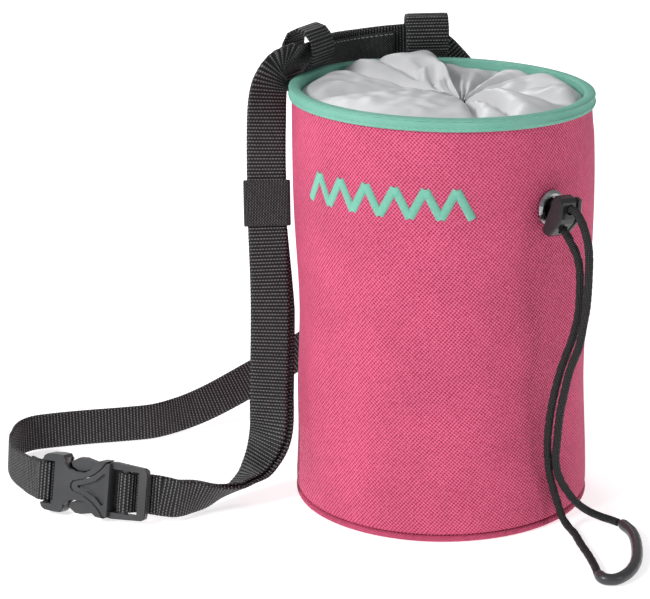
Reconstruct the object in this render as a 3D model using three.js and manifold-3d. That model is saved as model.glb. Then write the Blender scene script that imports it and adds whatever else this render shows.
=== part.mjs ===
// Drawstring climbing chalk bag with a waist belt, standing on its base with the belt buckled.
// Millimetres, +Z up. The origin is the middle of the base, where it rests on the floor, and the
// side that faces -Y is the front.
import * as THREE from 'three';
import { mergeVertices } from 'three/addons/utils/BufferGeometryUtils.js';
import Module from 'manifold-3d';

const wasm = await Module();
wasm.setup();

const V = (x, y, z) => new THREE.Vector3(x, y, z);
const rad = THREE.MathUtils.degToRad;
const UP = V(0, 0, 1);

// Driving dimensions
const seatGap = 0.3; // clearance between neighbouring pieces
const bagHeight = 160; // floor to the top of the rim binding, on the axis
const rimRadius = 56; // outside of the fabric wall at the rim
const baseRadius = 56.8; // outside of the fabric wall at the base
const wallCloth = 2; // laminated fabric wall
const rimTilt = 1.5; // degrees, the right side of the rim sits lower
const panelThickness = 2.4; // sewn-in base panel with its rolled seam
const panelRounding = 1.1;
const bindingHeight = 4.6; // each leg of the folded binding tape
const bindingTape = 0.8;

const collarCloth = 1; // gathered nylon closure
const collarDip = 8.6; // how far the gathered hem sinks under the rim
const collarFold = 4.2; // tallest fold over the rim
const neckRadius = 2.6; // hole left where the cloth is drawn together
const neckAside = 14; // the drawn centre lies off the axis of the bag
const neckTurn = 53; // degrees

const webbingWidth = 16;
const webbingThickness = 1.3;
const loopWebbing = 18; // width of the two belt loops
const loopHeight = 17; // standing over the rim
const loopDepth = 14; // widest opening, radially
const loopThickness = 1.3;
const loops = [
  { side: 'right', turn: 93, drop: 24 }, // degrees round the rim, sewn this far below it outside
  { side: 'left', turn: 152, drop: 9.5 },
];
const beltReach = 118; // how far the buckled belt lies out from the wall
const sleeveThickness = 0.9; // elastic brush holder against the belt's inner face
const sleeveHeight = 13.7;
const sleeveDrop = 2.3; // from the belt's upper edge to its hem
const keeperLength = 17; // elastic keeper round the doubled strap
const keeperThickness = 0.6;
const keeperAt = 0.719; // middle, as a share of the bag's height
const tailOver = 3.5; // the free end stands out of the keeper
const tailShift = 2; // the free end lies this far off the strap it doubles

const buckleLength = 44.5;
const buckleWidth = 22.4;
const buckleThickness = 7;
const frameThickness = 3;
const barRadius = 1.5;
const slotHalf = webbingWidth / 2 + seatGap; // half the width of each webbing slot
const prongThickness = 3.4;
const buckleReach = 0.6754 * beltReach; // beyond the wall, to the middle of the buckle
const buckleTurn = -168.5;
const buckleHeading = -23; // degrees, from the socket half to the prong half
const buckleLean = 14; // degrees, its upper edge leans back

const eyeletRadius = 6.5;
const eyeletBore = 3.6;
const eyeletBarrel = 0.6; // wall of the barrel through the cloth
const eyeletRim = 1.3; // flange standing on the cloth
const eyeletHeight = 124.2;
const eyeletTurn = -49.7;

const cordDiameter = 3;
const cordHole = cordDiameter + 3 * seatGap;
const lockTurn = -51.8;
const lockHeight = 123.8; // middle of its inner face
const lockOff = 5.8; // that face, out from the rim's radius
const lockLeft = 4.6; // body to the left of the cord holes
const lockRight = 3.2;
const lockTall = 15.4;
const lockDeep = 6.8; // at the ridge between the holes
const lockTip = 18; // degrees, the cords drag its outer face down
const lockRoll = 8; // degrees
const holeSpacing = 8.7; // where the cords come out
const holeSpacingIn = 5.1; // towards the eyelet
const plungerStroke = 1.2;
const plungerNeck = 1.7; // stands out between body and head
const plungerHead = 2;
const plungerThickness = 2;
const tubeDiameter = 4.2; // pull tube over the joined end of the cord

// Materials
const material = (name, color, roughness, metalness = 0) =>
  new THREE.MeshStandardMaterial({ name, color, roughness, metalness });
const shellFabric = material('shell_fabric', 0xcf5c7d, 0.85);
const bindingCloth = material('binding_tape', 0x5fb89f, 0.8);
const collarNylon = material('collar_nylon', 0xc9c9c9, 0.6);
const webbing = material('webbing', 0x1c1c1d, 0.8);
const elastic = material('elastic', 0x171717, 0.85);
const acetal = material('acetal', 0x2b2b2d, 0.45);
const nickel = material('nickel', 0xc8c8cc, 0.25, 1);
const cordNylon = material('cord_nylon', 0x141414, 0.7);
const shrinkTube = material('shrink_tube', 0x3a3b3d, 0.4);

const bag = new THREE.Group();
const add = (name, geometry, surface, parent = bag) => {
  const mesh = new THREE.Mesh(geometry, surface);
  mesh.name = name;
  parent.add(mesh);
  return mesh;
};

// Geometry from lists of points
function meshOf(points, faces) {
  const geometry = new THREE.BufferGeometry();
  geometry.setAttribute('position', new THREE.Float32BufferAttribute(points.flatMap((p) => [p.x, p.y, p.z]), 3));
  geometry.setIndex(faces.flat());
  return geometry;
}

// A ring: a closed profile of `across` points carried round `around` stations
function ring(around, across, point) {
  const points = [];
  const faces = [];
  for (let i = 0; i < around; i += 1) {
    for (let j = 0; j < across; j += 1) {
      points.push(point(i / around, j));
      const [a, b] = [i * across + j, i * across + ((j + 1) % across)];
      const [c, d] = [((i + 1) % around) * across + j, ((i + 1) % around) * across + ((j + 1) % across)];
      faces.push([a, c, b], [b, c, d]);
    }
  }
  return meshOf(points, faces);
}

// A bar: closed sections, each a list of points, joined in a row and capped
function bar(sections) {
  const across = sections[0].length;
  const points = sections.flat();
  const faces = [];
  for (let i = 0; i + 1 < sections.length; i += 1) {
    for (let j = 0; j < across; j += 1) {
      const [a, b] = [i * across + j, i * across + ((j + 1) % across)];
      faces.push([a, b, a + across], [b, b + across, a + across]);
    }
  }
  const last = (sections.length - 1) * across;
  for (let j = 1; j + 1 < across; j += 1) {
    faces.push([0, j + 1, j], [last, last + j, last + j + 1]);
  }
  return meshOf(points, faces);
}

function solid(geometry) {
  const plain = geometry.clone();
  for (const name of Object.keys(plain.attributes)) {
    if (name !== 'position') plain.deleteAttribute(name);
  }
  const merged = mergeVertices(plain, 1e-4);
  return new wasm.Manifold(new wasm.Mesh({
    numProp: 3,
    vertProperties: new Float32Array(merged.attributes.position.array),
    triVerts: new Uint32Array(merged.index.array),
  }));
}

function geometryOf(body) {
  const mesh = body.getMesh();
  const geometry = new THREE.BufferGeometry();
  geometry.setAttribute('position', new THREE.Float32BufferAttribute(mesh.vertProperties, 3));
  geometry.setIndex([...mesh.triVerts]);
  return geometry;
}

// The frame of something that stands off the wall: out along its normal, along the wall, and up
function wallFrame(turn) {
  const out = V(Math.cos(rad(turn)), Math.sin(rad(turn)), 0);
  return { out, along: V(-out.y, out.x, 0) };
}

// Shell: a sewn tube of fabric, slightly waisted, on a round base panel
const rimLift = (x, up) => -x * Math.tan(rad(rimTilt)) * up;

// Soft swells and hollows of the standing fabric: where, how wide, and how deep as a share of the radius
const wallDents = [
  { turn: 183, up: 0.45, wide: 30, tall: 0.2, depth: -0.036 },
  { turn: 180, up: 0.12, wide: 30, tall: 0.12, depth: -0.025 },
  { turn: -5, up: 0.3, wide: 30, tall: 0.2, depth: -0.03 },
  { turn: -5, up: 0.62, wide: 30, tall: 0.2, depth: 0.012 },
  { turn: -60, up: 0.16, wide: 22, tall: 0.1, depth: -0.02 },
  { turn: -35, up: 0.1, wide: 14, tall: 0.08, depth: 0.015 },
  { turn: 2, up: 0.86, wide: 34, tall: 0.2, depth: 0.03 },
  { turn: -130, up: 0.75, wide: 35, tall: 0.2, depth: 0.008 },
  { turn: 100, up: 0.5, wide: 40, tall: 0.2, depth: -0.015 },
];

function dent(turn, up) {
  let depth = 0;
  for (const row of wallDents) {
    const away = THREE.MathUtils.euclideanModulo(turn - row.turn + 180, 360) - 180;
    depth += row.depth * Math.exp(-((away / row.wide) ** 2) - ((up - row.up) / row.tall) ** 2);
  }
  return depth;
}

function wallPoint(turn, up, inset) {
  const taper = THREE.MathUtils.lerp(baseRadius, rimRadius, up);
  const loose = Math.sqrt(Math.sin(Math.PI * up)) * THREE.MathUtils.clamp((0.968 - up) / 0.06, 0, 1);
  const radius = taper + rimRadius * dent(turn, up) * loose - inset;
  const x = radius * Math.cos(rad(turn));
  const y = radius * Math.sin(rad(turn));
  const foot = panelThickness + seatGap;
  const top = bagHeight - bindingTape - seatGap;
  return V(x, y, THREE.MathUtils.lerp(foot, top, up) + rimLift(x, up));
}

const wallRows = 11;
const wallTurns = 48;
const outerRows = [...Array(wallRows).keys()].map((i) => ({ up: i / (wallRows - 1), inset: 0 }));
outerRows[0].inset = 0.9;
outerRows.splice(1, 0, { up: 0.008, inset: 0.2 }, { up: 0.03, inset: 0 });
outerRows.splice(-1, 0, { up: 0.968, inset: 0 });
const innerRows = [1, 0.75, 0.5, 0.25, 0].map((up) => ({ up, inset: wallCloth }));
const wallProfile = [...outerRows, ...innerRows];
const tube = ring(wallTurns, wallProfile.length, (share, j) =>
  wallPoint(360 * share, wallProfile[j].up, wallProfile[j].inset));

// A round tool lying along the wall's normal
function plugAt(turn, height, radius, from, to, sides = 24) {
  const { out } = wallFrame(turn);
  const plug = new THREE.CylinderGeometry(radius, radius, to - from, sides);
  plug.applyQuaternion(new THREE.Quaternion().setFromUnitVectors(V(0, 1, 0), out));
  plug.translate(...out.clone().multiplyScalar((from + to) / 2).setZ(height).toArray());
  return plug;
}
const barrelRadius = eyeletBore + eyeletBarrel;
const eyeletHole = solid(plugAt(eyeletTurn, eyeletHeight, barrelRadius + seatGap, rimRadius / 2, rimRadius * 1.5));
add('side_wall', geometryOf(solid(tube).subtract(eyeletHole)), shellFabric);

const panelProfile = [
  [0, 0],
  [baseRadius - panelRounding, 0],
  [baseRadius - 0.3 * panelRounding, 0.3 * panelRounding],
  [baseRadius, panelThickness / 2],
  [baseRadius - 0.3 * panelRounding, panelThickness - 0.3 * panelRounding],
  [baseRadius - panelRounding, panelThickness],
  [0, panelThickness],
].map(([r, z]) => new THREE.Vector2(r, z));
const panel = new THREE.LatheGeometry(panelProfile, wallTurns);
panel.rotateX(Math.PI / 2);
add('base_panel', panel, shellFabric);

// Rim binding: tape folded over the raw edge and sewn through
const bindingOut = rimRadius + seatGap;
const bindingIn = rimRadius - wallCloth - seatGap;
const bindingTop = bagHeight;
const bindingProfile = [
  [bindingOut, bindingTop - bindingHeight],
  [bindingOut + bindingTape, bindingTop - bindingHeight],
  [bindingOut + bindingTape, bindingTop - 0.8],
  [bindingOut + bindingTape - 0.6, bindingTop],
  [bindingIn - bindingTape + 0.6, bindingTop],
  [bindingIn - bindingTape, bindingTop - 0.8],
  [bindingIn - bindingTape, bindingTop - bindingHeight],
  [bindingIn, bindingTop - bindingHeight],
  [bindingIn, bindingTop - bindingTape],
  [bindingOut, bindingTop - bindingTape],
];
add('rim_binding', ring(wallTurns, bindingProfile.length, (share, j) => {
  const [radius, z] = bindingProfile[j];
  const x = radius * Math.cos(2 * Math.PI * share);
  return V(x, radius * Math.sin(2 * Math.PI * share), z + rimLift(x, 1));
}), bindingCloth);

// Collar: nylon sleeve sewn in at the rim and drawn together over the mouth. Each fold runs from the
// gathered hem to the rim in one direction, in degrees, as a round crest or a sharp valley. Its rise
// over the rim is given at each of the foldWays, from the rim (0) to the hem (1), in shares of collarFold.
const foldWays = [0, 0.15, 0.35, 0.55, 0.75, 0.92, 1];
const folds = [
  { turn: -135, crest: true, rise: [-0.07, 0.19, 0.14, -0.36, -1.31] },
  { turn: -112, crest: true, rise: [-0.07, 0.19, 0.14, -0.48, -1.43] },
  { turn: -95, crest: true, rise: [-0.19, -0.07, -0.36, -0.95, -1.67] },
  { turn: -88, crest: false, rise: [-0.36, -0.6, -0.95, -1.5, -1.9] },
  { turn: -81, crest: true, rise: [-0.24, -0.24, -0.52, -1.1, -1.67] },
  { turn: -74, crest: false, rise: [-0.36, -0.67, -1.07, -1.55, -1.95] },
  { turn: -63, crest: true, rise: [0, 0.43, 0.43, -0.36, -1.43] },
  { turn: -38, crest: false, rise: [-0.24, -0.76, -1, -1.31, -1.79] },
  { turn: -27, crest: true, rise: [0.43, 0.05, -0.71, -1.19, -1.79] },
  { turn: -10, crest: true, rise: [0, -0.36, -0.76, -1.19, -1.76] },
  { turn: 20, crest: true, rise: [0.07, -0.12, -0.48, -1, -1.67] },
  { turn: 35, crest: false, rise: [-0.36, -0.71, -1, -1.38, -1.86] },
  { turn: 50, crest: true, rise: [-0.24, -0.36, -0.52, -1, -1.67] },
  { turn: 66, crest: false, rise: [-0.71, -1.07, -1.19, -1.43, -1.9] },
  { turn: 78, crest: true, rise: [-0.6, -0.6, -0.71, -1.07, -1.67] },
  { turn: 100, crest: false, rise: [0.36, 0.24, -0.48, -1.19, -1.9] },
  { turn: 112, crest: true, rise: [0.95, 1, 0.48, -0.48, -1.43] },
  { turn: 128, crest: true, rise: [0.83, 0.71, 0, -0.95, -1.67] },
  { turn: 138, crest: false, rise: [0.36, 0.12, -0.6, -1.38, -1.9] },
  { turn: 147, crest: true, rise: [0.71, 0.48, -0.36, -1.14, -1.67] },
  { turn: 158, crest: false, rise: [-0.24, -0.36, -1.07, -1.62, -1.95] },
  { turn: 172, crest: true, rise: [0.19, 0.05, -0.62, -1.19, -1.67] },
  { turn: 188, crest: true, rise: [0, 0, -0.48, -1.07, -1.67] },
  { turn: 202, crest: false, rise: [-0.12, -0.29, -0.67, -1.19, -1.79] },
];
const collarEdge = bindingIn - bindingTape - seatGap;
const collarSewn = 1 - bindingHeight;
const neck = V(neckAside * Math.cos(rad(neckTurn)), neckAside * Math.sin(rad(neckTurn)), 0);

function crestHeight(fold, way) {
  const heights = [collarSewn, ...fold.rise.map((rise) => rise * collarFold), -collarDip];
  const next = Math.max(1, foldWays.findIndex((end) => end >= way));
  const slope = (k) => {
    const [before, after] = [Math.max(k - 1, 0), Math.min(k + 1, foldWays.length - 1)];
    return (heights[after] - heights[before]) / (foldWays[after] - foldWays[before]);
  };
  const span = foldWays[next] - foldWays[next - 1];
  const t = (way - foldWays[next - 1]) / span;
  const settled = t * t * (3 - 2 * t);
  return THREE.MathUtils.lerp(heights[next - 1], heights[next], settled)
    + span * t * (1 - t) * ((1 - t) * slope(next - 1) - t * slope(next));
}

function collarPoint(index, share, way, under) {
  const [fold, after] = [folds[index], folds[(index + 1) % folds.length]];
  const turn = fold.turn + THREE.MathUtils.euclideanModulo(after.turn - fold.turn, 360) * share;
  const round = Math.sin((Math.PI / 2) * share);
  const across = fold.crest === after.crest ? share * share * (3 - 2 * share)
    : after.crest ? round : 1 - Math.cos((Math.PI / 2) * share);
  const run = V(Math.cos(rad(turn)), Math.sin(rad(turn)), 0);
  const aside = neck.dot(run);
  const toRim = Math.sqrt(aside ** 2 + collarEdge ** 2 - neck.lengthSq()) - aside;
  const spot = neck.clone().addScaledVector(run, THREE.MathUtils.lerp(toRim, neckRadius, way));
  const z = bagHeight + THREE.MathUtils.lerp(crestHeight(fold, way), crestHeight(after, way), across);
  return spot.setZ(z + rimLift(spot.x, 1) - under * collarCloth);
}

const collarWays = [0, 0.06, 0.15, 0.25, 0.35, 0.45, 0.55, 0.75, 0.92, 1];
const collarTurns = folds.flatMap((fold, index) => {
  const gap = THREE.MathUtils.euclideanModulo(folds[(index + 1) % folds.length].turn - fold.turn, 360);
  const parts = Math.max(1, Math.round(gap / 6));
  return [...Array(parts).keys()].map((k) => ({ index, share: k / parts }));
});
const collarSteps = collarWays.length;
add('collar', ring(collarTurns.length, 2 * collarSteps, (share, j) => {
  const top = j < collarSteps;
  const way = top ? collarWays[j] : collarWays[2 * collarSteps - 1 - j];
  const station = collarTurns[Math.round(share * collarTurns.length)];
  return collarPoint(station.index, station.share, way, top ? 0 : 1);
}), collarNylon);

// Webbing: a flat section carried along rows that each give a middle and the way to one edge
function smooth(rows, step) {
  const middles = new THREE.CatmullRomCurve3(rows.map((row) => row.at), false, 'centripetal');
  const edges = new THREE.CatmullRomCurve3(rows.map((row) => row.edge), false, 'centripetal');
  const spans = rows.length - 1;
  const out = [];
  for (let i = 0; i < spans; i += 1) {
    const parts = Math.max(1, Math.round(rows[i].at.distanceTo(rows[i + 1].at) / step));
    for (let k = 0; k < parts; k += 1) {
      const share = (i + k / parts) / spans;
      out.push({ at: middles.getPoint(share), edge: edges.getPoint(share).normalize() });
    }
  }
  out.push({ at: rows[spans].at.clone(), edge: rows[spans].edge.clone().normalize() });
  return out;
}

function framed(rows) {
  return rows.map((row, i) => {
    const run = rows[Math.min(i + 1, rows.length - 1)].at.clone().sub(rows[Math.max(i - 1, 0)].at).normalize();
    const face = new THREE.Vector3().crossVectors(run, row.edge).normalize();
    const edge = new THREE.Vector3().crossVectors(face, run).normalize();
    return { at: row.at, run, edge, face };
  });
}

function strap(rows, width, thickness) {
  return bar(framed(rows).map(({ at, edge, face }) => [[-1, -1], [1, -1], [1, 1], [-1, 1]].map(([w, t]) =>
    at.clone().addScaledVector(edge, (w * width) / 2).addScaledVector(face, (t * thickness) / 2))));
}

// A sleeve of cloth round a strap: the strap's rows, with a wall all round
function sleeve(rows, width, inside, wall) {
  const frames = framed(rows);
  const corners = [[-1, -1], [1, -1], [1, 1], [-1, 1]];
  const skin = (grow) => bar(frames.map(({ at, edge, face }) => corners.map(([w, t]) =>
    at.clone().addScaledVector(edge, w * (width / 2 + grow)).addScaledVector(face, t * (inside / 2 + grow)))));
  const longer = (shift) => {
    const run = frames.map((frame) => ({ ...frame }));
    run[0].at = run[0].at.clone().addScaledVector(run[0].run, -shift);
    run[run.length - 1].at = run[run.length - 1].at.clone().addScaledVector(run[run.length - 1].run, shift);
    return run;
  };
  const hollow = bar(longer(1).map(({ at, edge, face }) => corners.map(([w, t]) =>
    at.clone().addScaledVector(edge, (w * width) / 2).addScaledVector(face, (t * inside) / 2))));
  return geometryOf(solid(skin(wall)).subtract(solid(hollow)));
}

// Belt loops: a band from the top of the rim, up over the mouth, and down to the outside of the wall.
// Each row gives how far out from the wall as a share of loopDepth, and how far up as a share of
// loopHeight or down as a share of the loop's drop.
const loopOutline = [
  { out: -0.09, up: 0.075 },
  { out: -0.286, up: 0.235 },
  { out: -0.386, up: 0.482 },
  { out: -0.336, up: 0.735 },
  { out: -0.13, up: 0.93 },
  { out: 0.13, up: 0.985 },
  { out: 0.386, up: 0.88 },
  { out: 0.543, up: 0.635 },
  { out: 0.586, up: 0.294 },
  { out: 0.57, down: 0.1 },
  { out: 0.54, down: 0.5 },
  { out: 0.38, down: 0.78 },
  { out: 0.22, down: 1 },
  { out: 0.17, down: 1.25 },
];
for (const { side, turn, drop } of loops) {
  const { out, along } = wallFrame(turn);
  const middle = rimRadius - wallCloth / 2;
  const rows = loopOutline.map((row) => {
    const at = out.clone().multiplyScalar(middle + row.out * loopDepth);
    const rise = row.down === undefined ? row.up * loopHeight : -row.down * drop;
    return { at: at.setZ(bagHeight + rimLift(at.x, 1) + rise), edge: along };
  });
  add(`loop_${side}`, strap(smooth(rows, loopHeight / 4), loopWebbing, loopThickness), webbing);
}

// Buckle frame: u from the socket to the prongs, w up its leaning face, n to the front
const u = V(Math.cos(rad(buckleHeading)), Math.sin(rad(buckleHeading)), 0);
const level = V(u.y, -u.x, 0);
const w = UP.clone().multiplyScalar(Math.cos(rad(buckleLean))).addScaledVector(level, -Math.sin(rad(buckleLean)));
const n = new THREE.Vector3().crossVectors(u, w);
const buckleFoot = (buckleWidth / 2) * w.z + (buckleThickness / 2) * n.z;
const buckleMiddle = wallFrame(buckleTurn).out.multiplyScalar(rimRadius + buckleReach).setZ(buckleFoot);
const onBuckle = (along, front, up = 0) => buckleMiddle.clone()
  .addScaledVector(u, along).addScaledVector(n, front).addScaledVector(w, up);
const half = buckleLength / 2;
const socketBar = -half + barRadius; // middle of the round bar at the socket's end
const slotOne = 7; // where the webbing's window in the prong half begins
const dividerBar = 12.8;
const endBar = 18.7; // the window's far end
const lap = barRadius + seatGap + webbingThickness / 2;

// The belt, one strip of webbing. Rows that run round the bag give: turn in degrees, out beyond the
// wall as a share of beltReach, off the wall as a share of the webbing's width, up as a share of
// the bag's height and of the webbing's width, and the way to the upper edge by its own shares.
const beltRow = ({ turn, reach = 0, off = 0.5, up = 0, foot = 0.5, edge }) => ({
  at: wallFrame(turn).out.multiplyScalar(rimRadius + reach * beltReach + off * webbingWidth)
    .setZ(up * bagHeight + foot * webbingWidth),
  edge: V(...edge),
});

// On the floor to the left, from the socket round the bend to the back, then up to the right loop
const beltBack = [
  { turn: 185.3, reach: 0.799, up: 0.018, edge: [0.08, 0.18, 0.98] },
  { turn: 183.3, reach: 0.824, up: 0.013, edge: [0.06, 0.14, 0.99] },
  { turn: 181.3, reach: 0.847, up: 0.009, edge: [0.04, 0.08, 1] },
  { turn: 178.6, reach: 0.881, up: 0.004, edge: [0.03, 0.03, 1] },
  { turn: 175.9, reach: 0.91, up: 0.001, edge: [0.05, 0, 1] },
  { turn: 172.8, reach: 0.932, edge: [0.1, 0, 1] },
  { turn: 170.4, reach: 0.938, edge: [0.1, 0, 1] },
  { turn: 168, reach: 0.932, edge: [0.06, 0, 1] },
  { turn: 166.1, reach: 0.905, edge: [0.03, 0, 1] },
  { turn: 164.8, reach: 0.86, edge: [0, 0, 1] },
  { turn: 162, reach: 0.748, edge: [0, 0, 1] },
  { turn: 158.4, reach: 0.617, edge: [0, 0, 1] },
  { turn: 155.4, reach: 0.544, edge: [-0.05, 0, 1] },
  { turn: 149.4, reach: 0.481, up: 0.005, edge: [-0.15, 0, 1] },
  { turn: 144.8, reach: 0.427, up: 0.024, edge: [-0.3, 0, 1] },
  { turn: 136.5, reach: 0.345, up: 0.072, edge: [-0.45, 0, 0.9] },
  { turn: 127.7, reach: 0.261, up: 0.131, edge: [-0.5, 0, 0.87] },
  { turn: 116.3, reach: 0.186, up: 0.206, edge: [-0.53, 0, 0.85] },
  { turn: 100, reach: 0.137, up: 0.3, edge: [-0.58, 0, 0.8] },
  { turn: 84.1, reach: 0.122, up: 0.4, edge: [-0.65, 0.1, 0.74] },
  { turn: 71.6, reach: 0.1, up: 0.51, edge: [-0.7, 0.45, 0.55] },
  { turn: 64.6, reach: 0.07, up: 0.62, edge: [-0.4, 0.85, 0.35] },
  { turn: 64, reach: 0.035, up: 0.72, edge: [0.25, 0.9, 0.35] },
  { turn: 69, off: 0.66, up: 0.805, edge: [0.7, 0.4, 0.55] },
  { turn: 76.5, off: 0.42, up: 0.87, edge: [0.8, 0.1, 0.6] },
];

// Round the back of the rim through both loops, with the brush sleeve between them
const rimPass = [
  { turn: 83, off: 0.3, up: 0.925, edge: [0.75, 0.03, 0.65] },
  { turn: 88.5, off: 0.25, up: 0.962, edge: [0.5, 0, 0.87] },
  { turn: 94.5, off: 0.22, up: 0.982, edge: [0.18, -0.07, 1] },
  { turn: 106, off: 0.23, up: 0.984, edge: [0.05, -0.12, 1] },
  { turn: 123, off: 0.25, up: 0.983, edge: [0.1, -0.2, 0.97] },
  { turn: 138, off: 0.17, up: 0.99, edge: [0.25, -0.35, 0.9] },
  { turn: 152, off: 0.065, up: 0.994, edge: [0.25, -0.6, 0.75] },
];

// Down the left side, leaning out at the top, to the floor and on to the prong half of the buckle
const strapRows = [
  { turn: 164.8, off: 0.15, up: 0.995, edge: [0.02, -0.8, 0.6] },
  { turn: 168.6, off: 0.21, up: 0.999, edge: [-0.28, -0.77, 0.5] },
  { turn: 171.1, off: 0.33, up: 0.992, edge: [-0.52, -0.72, 0.35] },
  { turn: 172.8, off: 0.44, up: 0.975, edge: [-0.7, -0.6, 0.28] },
  { turn: 173.7, off: 0.54, up: 0.95, edge: [-0.84, -0.45, 0.23] },
  { turn: 173.9, off: 0.6, up: 0.913, edge: [-0.92, -0.3, 0.18] },
  { turn: 173.9, off: 0.63, up: 0.865, edge: [-0.98, -0.12, 0.1] },
  { turn: 174.2, off: 0.65, up: 0.794, edge: [-1, 0, 0] },
  { turn: 179.1, off: 0.63, up: 0.63, edge: [-1, 0, 0] },
  { turn: 184.5, off: 0.61, up: 0.444, edge: [-1, 0, 0] },
  { turn: 187, off: 0.7, up: 0.212, edge: [-0.99, 0.1, -0.05] },
  { turn: 187.7, off: 0.8, reach: -0.005, foot: 1.63, edge: [-0.92, 0.32, -0.24] },
  { turn: 188.5, off: 0.8, reach: 0.024, foot: 1.08, edge: [-0.785, 0.55, -0.28] },
  { turn: 189.8, off: 0.8, reach: 0.057, foot: 0.75, edge: [-0.7, 0.635, -0.33] },
  { turn: 191.1, off: 0.8, reach: 0.088, foot: 0.6, edge: [-0.54, 0.75, -0.38] },
  { turn: 192.6, off: 0.8, reach: 0.123, foot: 0.49, edge: [-0.42, 0.79, -0.44] },
  { turn: 194.1, off: 0.8, reach: 0.16, foot: 0.47, edge: [-0.28, 0.78, -0.56] },
  { turn: 195.6, off: 0.8, reach: 0.215, foot: 0.45, edge: [-0.19, 0.585, -0.79] },
  { turn: 196.8, off: 0.8, reach: 0.273, foot: 0.52, edge: [-0.05, 0.3, -0.95] },
  { turn: 197.9, off: 0.8, reach: 0.332, foot: 0.6, edge: [-0.07, 0.04, -0.99] },
];
const beltPath = [...beltBack, ...rimPass, ...strapRows].map(beltRow);

const onBars = (along, front, edge = w) => ({ at: onBuckle(along, front), edge: edge.clone() });
const arc = (middle, from, to, edge, steps = 5) => [...Array(steps + 1).keys()].map((i) => {
  const turn = THREE.MathUtils.lerp(rad(from), rad(to), i / steps);
  return onBars(middle + lap * Math.cos(turn), lap * Math.sin(turn), edge);
});
const down = w.clone().negate();
const doubled = webbingThickness + seatGap; // from one layer's middle to the next

// Sewn end against the back of the strap's first rows, round the socket's bar, and out to the left
const outOfSocket = onBars(socketBar - 2, lap);
const sewnRows = framed([outOfSocket, ...beltBack.slice(0, 3).map(beltRow)]).slice(1, 3).map(({ at, face, edge }) => (
  { at: at.clone().addScaledVector(face, doubled), edge })).reverse();
const socketStart = [
  ...sewnRows,
  onBars(socketBar - barRadius, -lap),
  ...arc(socketBar, -90, 90, w),
  outOfSocket,
];

// Behind both bars of the prong half, round the divider, and out again in front of the strap
const frameEnd = half;
const prongTurn = [
  onBars(frameEnd + 4, -lap - doubled, down),
  onBars(frameEnd - barRadius, -lap - doubled, down),
  onBars(dividerBar + 3.2, -lap - 0.6 * doubled, down),
  ...arc(dividerBar, 270, 90, down),
  onBars(dividerBar + 1.4, lap - 0.35, down),
  onBars(dividerBar + 2.6, 0.8, down),
  onBars(dividerBar + 3.5, -1.1, down),
  onBars(endBar - 1, -lap + 0.25, down),
  onBars(frameEnd - barRadius, -lap, down),
  onBars(frameEnd + 4, -lap, down),
];

// The free end doubles the strap back up to the keeper, a little to one side of it
const strapFrames = framed(smooth([...strapRows.map(beltRow), prongTurn[0]], 7));
function atHeight(z) {
  const next = strapFrames.findIndex((row) => row.at.z < z);
  const [above, below] = [strapFrames[next - 1], strapFrames[next]];
  const share = (above.at.z - z) / (above.at.z - below.at.z);
  const mix = (key) => above[key].clone().lerp(below[key], share);
  return { next, row: { at: mix('at'), edge: mix('edge').normalize(), face: mix('face').normalize() } };
}
const keeperTop = keeperAt * bagHeight + keeperLength / 2;
const keeperBottom = keeperTop - keeperLength;
const tailTop = atHeight(keeperTop + tailOver);
const tailFrames = [tailTop.row, ...strapFrames.slice(tailTop.next)];
const tailRows = tailFrames.map((row, i, all) => {
  const away = 1 - i / (all.length - 1);
  const spread = Math.min(1, 3.5 * away) * THREE.MathUtils.clamp(5 * (0.87 - away), 0, 1);
  return {
    at: row.at.clone()
      .addScaledVector(row.face, doubled + 0.4 * spread)
      .addScaledVector(row.edge, -tailShift * spread),
    edge: row.edge,
  };
}).slice(0, -1).reverse();

const beltRows = [
  ...smooth([...socketStart, ...beltPath, ...prongTurn.slice(0, 3)], 7).slice(0, -1),
  ...smooth(prongTurn.slice(2), 2.5),
  ...tailRows,
];
add('belt_webbing', strap(beltRows, webbingWidth, webbingThickness), webbing);

// Brush sleeve: a strip of elastic against the belt's inner face, its ends at the two loops
const sleeveOff = webbingThickness / 2 + 1.8 * seatGap + sleeveThickness / 2;
const sleeveSink = sleeveDrop + (sleeveHeight - webbingWidth) / 2;
const sleeveRows = framed(smooth(rimPass.slice(3, 6).map(beltRow), 9)).map((row) => ({
  at: row.at.clone().addScaledVector(row.face, -sleeveOff).addScaledVector(row.edge, -sleeveSink),
  edge: row.edge,
}));
add('brush_sleeve', strap(sleeveRows, sleeveHeight, sleeveThickness), elastic);

// Keeper: an elastic ring round both layers
const keeperGap = seatGap;
const keeperRows = [keeperTop, (keeperTop + keeperBottom) / 2, keeperBottom].map((z) => {
  const { row } = atHeight(z);
  return { at: row.at.addScaledVector(row.face, doubled / 2), edge: row.edge };
});
const keeperInside = doubled + webbingThickness + 2 * keeperGap;
add('keeper', sleeve(keeperRows, webbingWidth + 2 * keeperGap, keeperInside, keeperThickness), elastic);

// Buckle halves: outlines by their upper half, in millimetres along u and up w, mirrored below
const mirrored = (upper) => {
  const lower = upper.filter((row) => row.w > 0).reverse().map((row) => ({ u: row.u, w: -row.w }));
  return [...upper, ...lower];
};
const buckleFrame = new THREE.Matrix4().makeBasis(u, w, n).setPosition(buckleMiddle);

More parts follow.
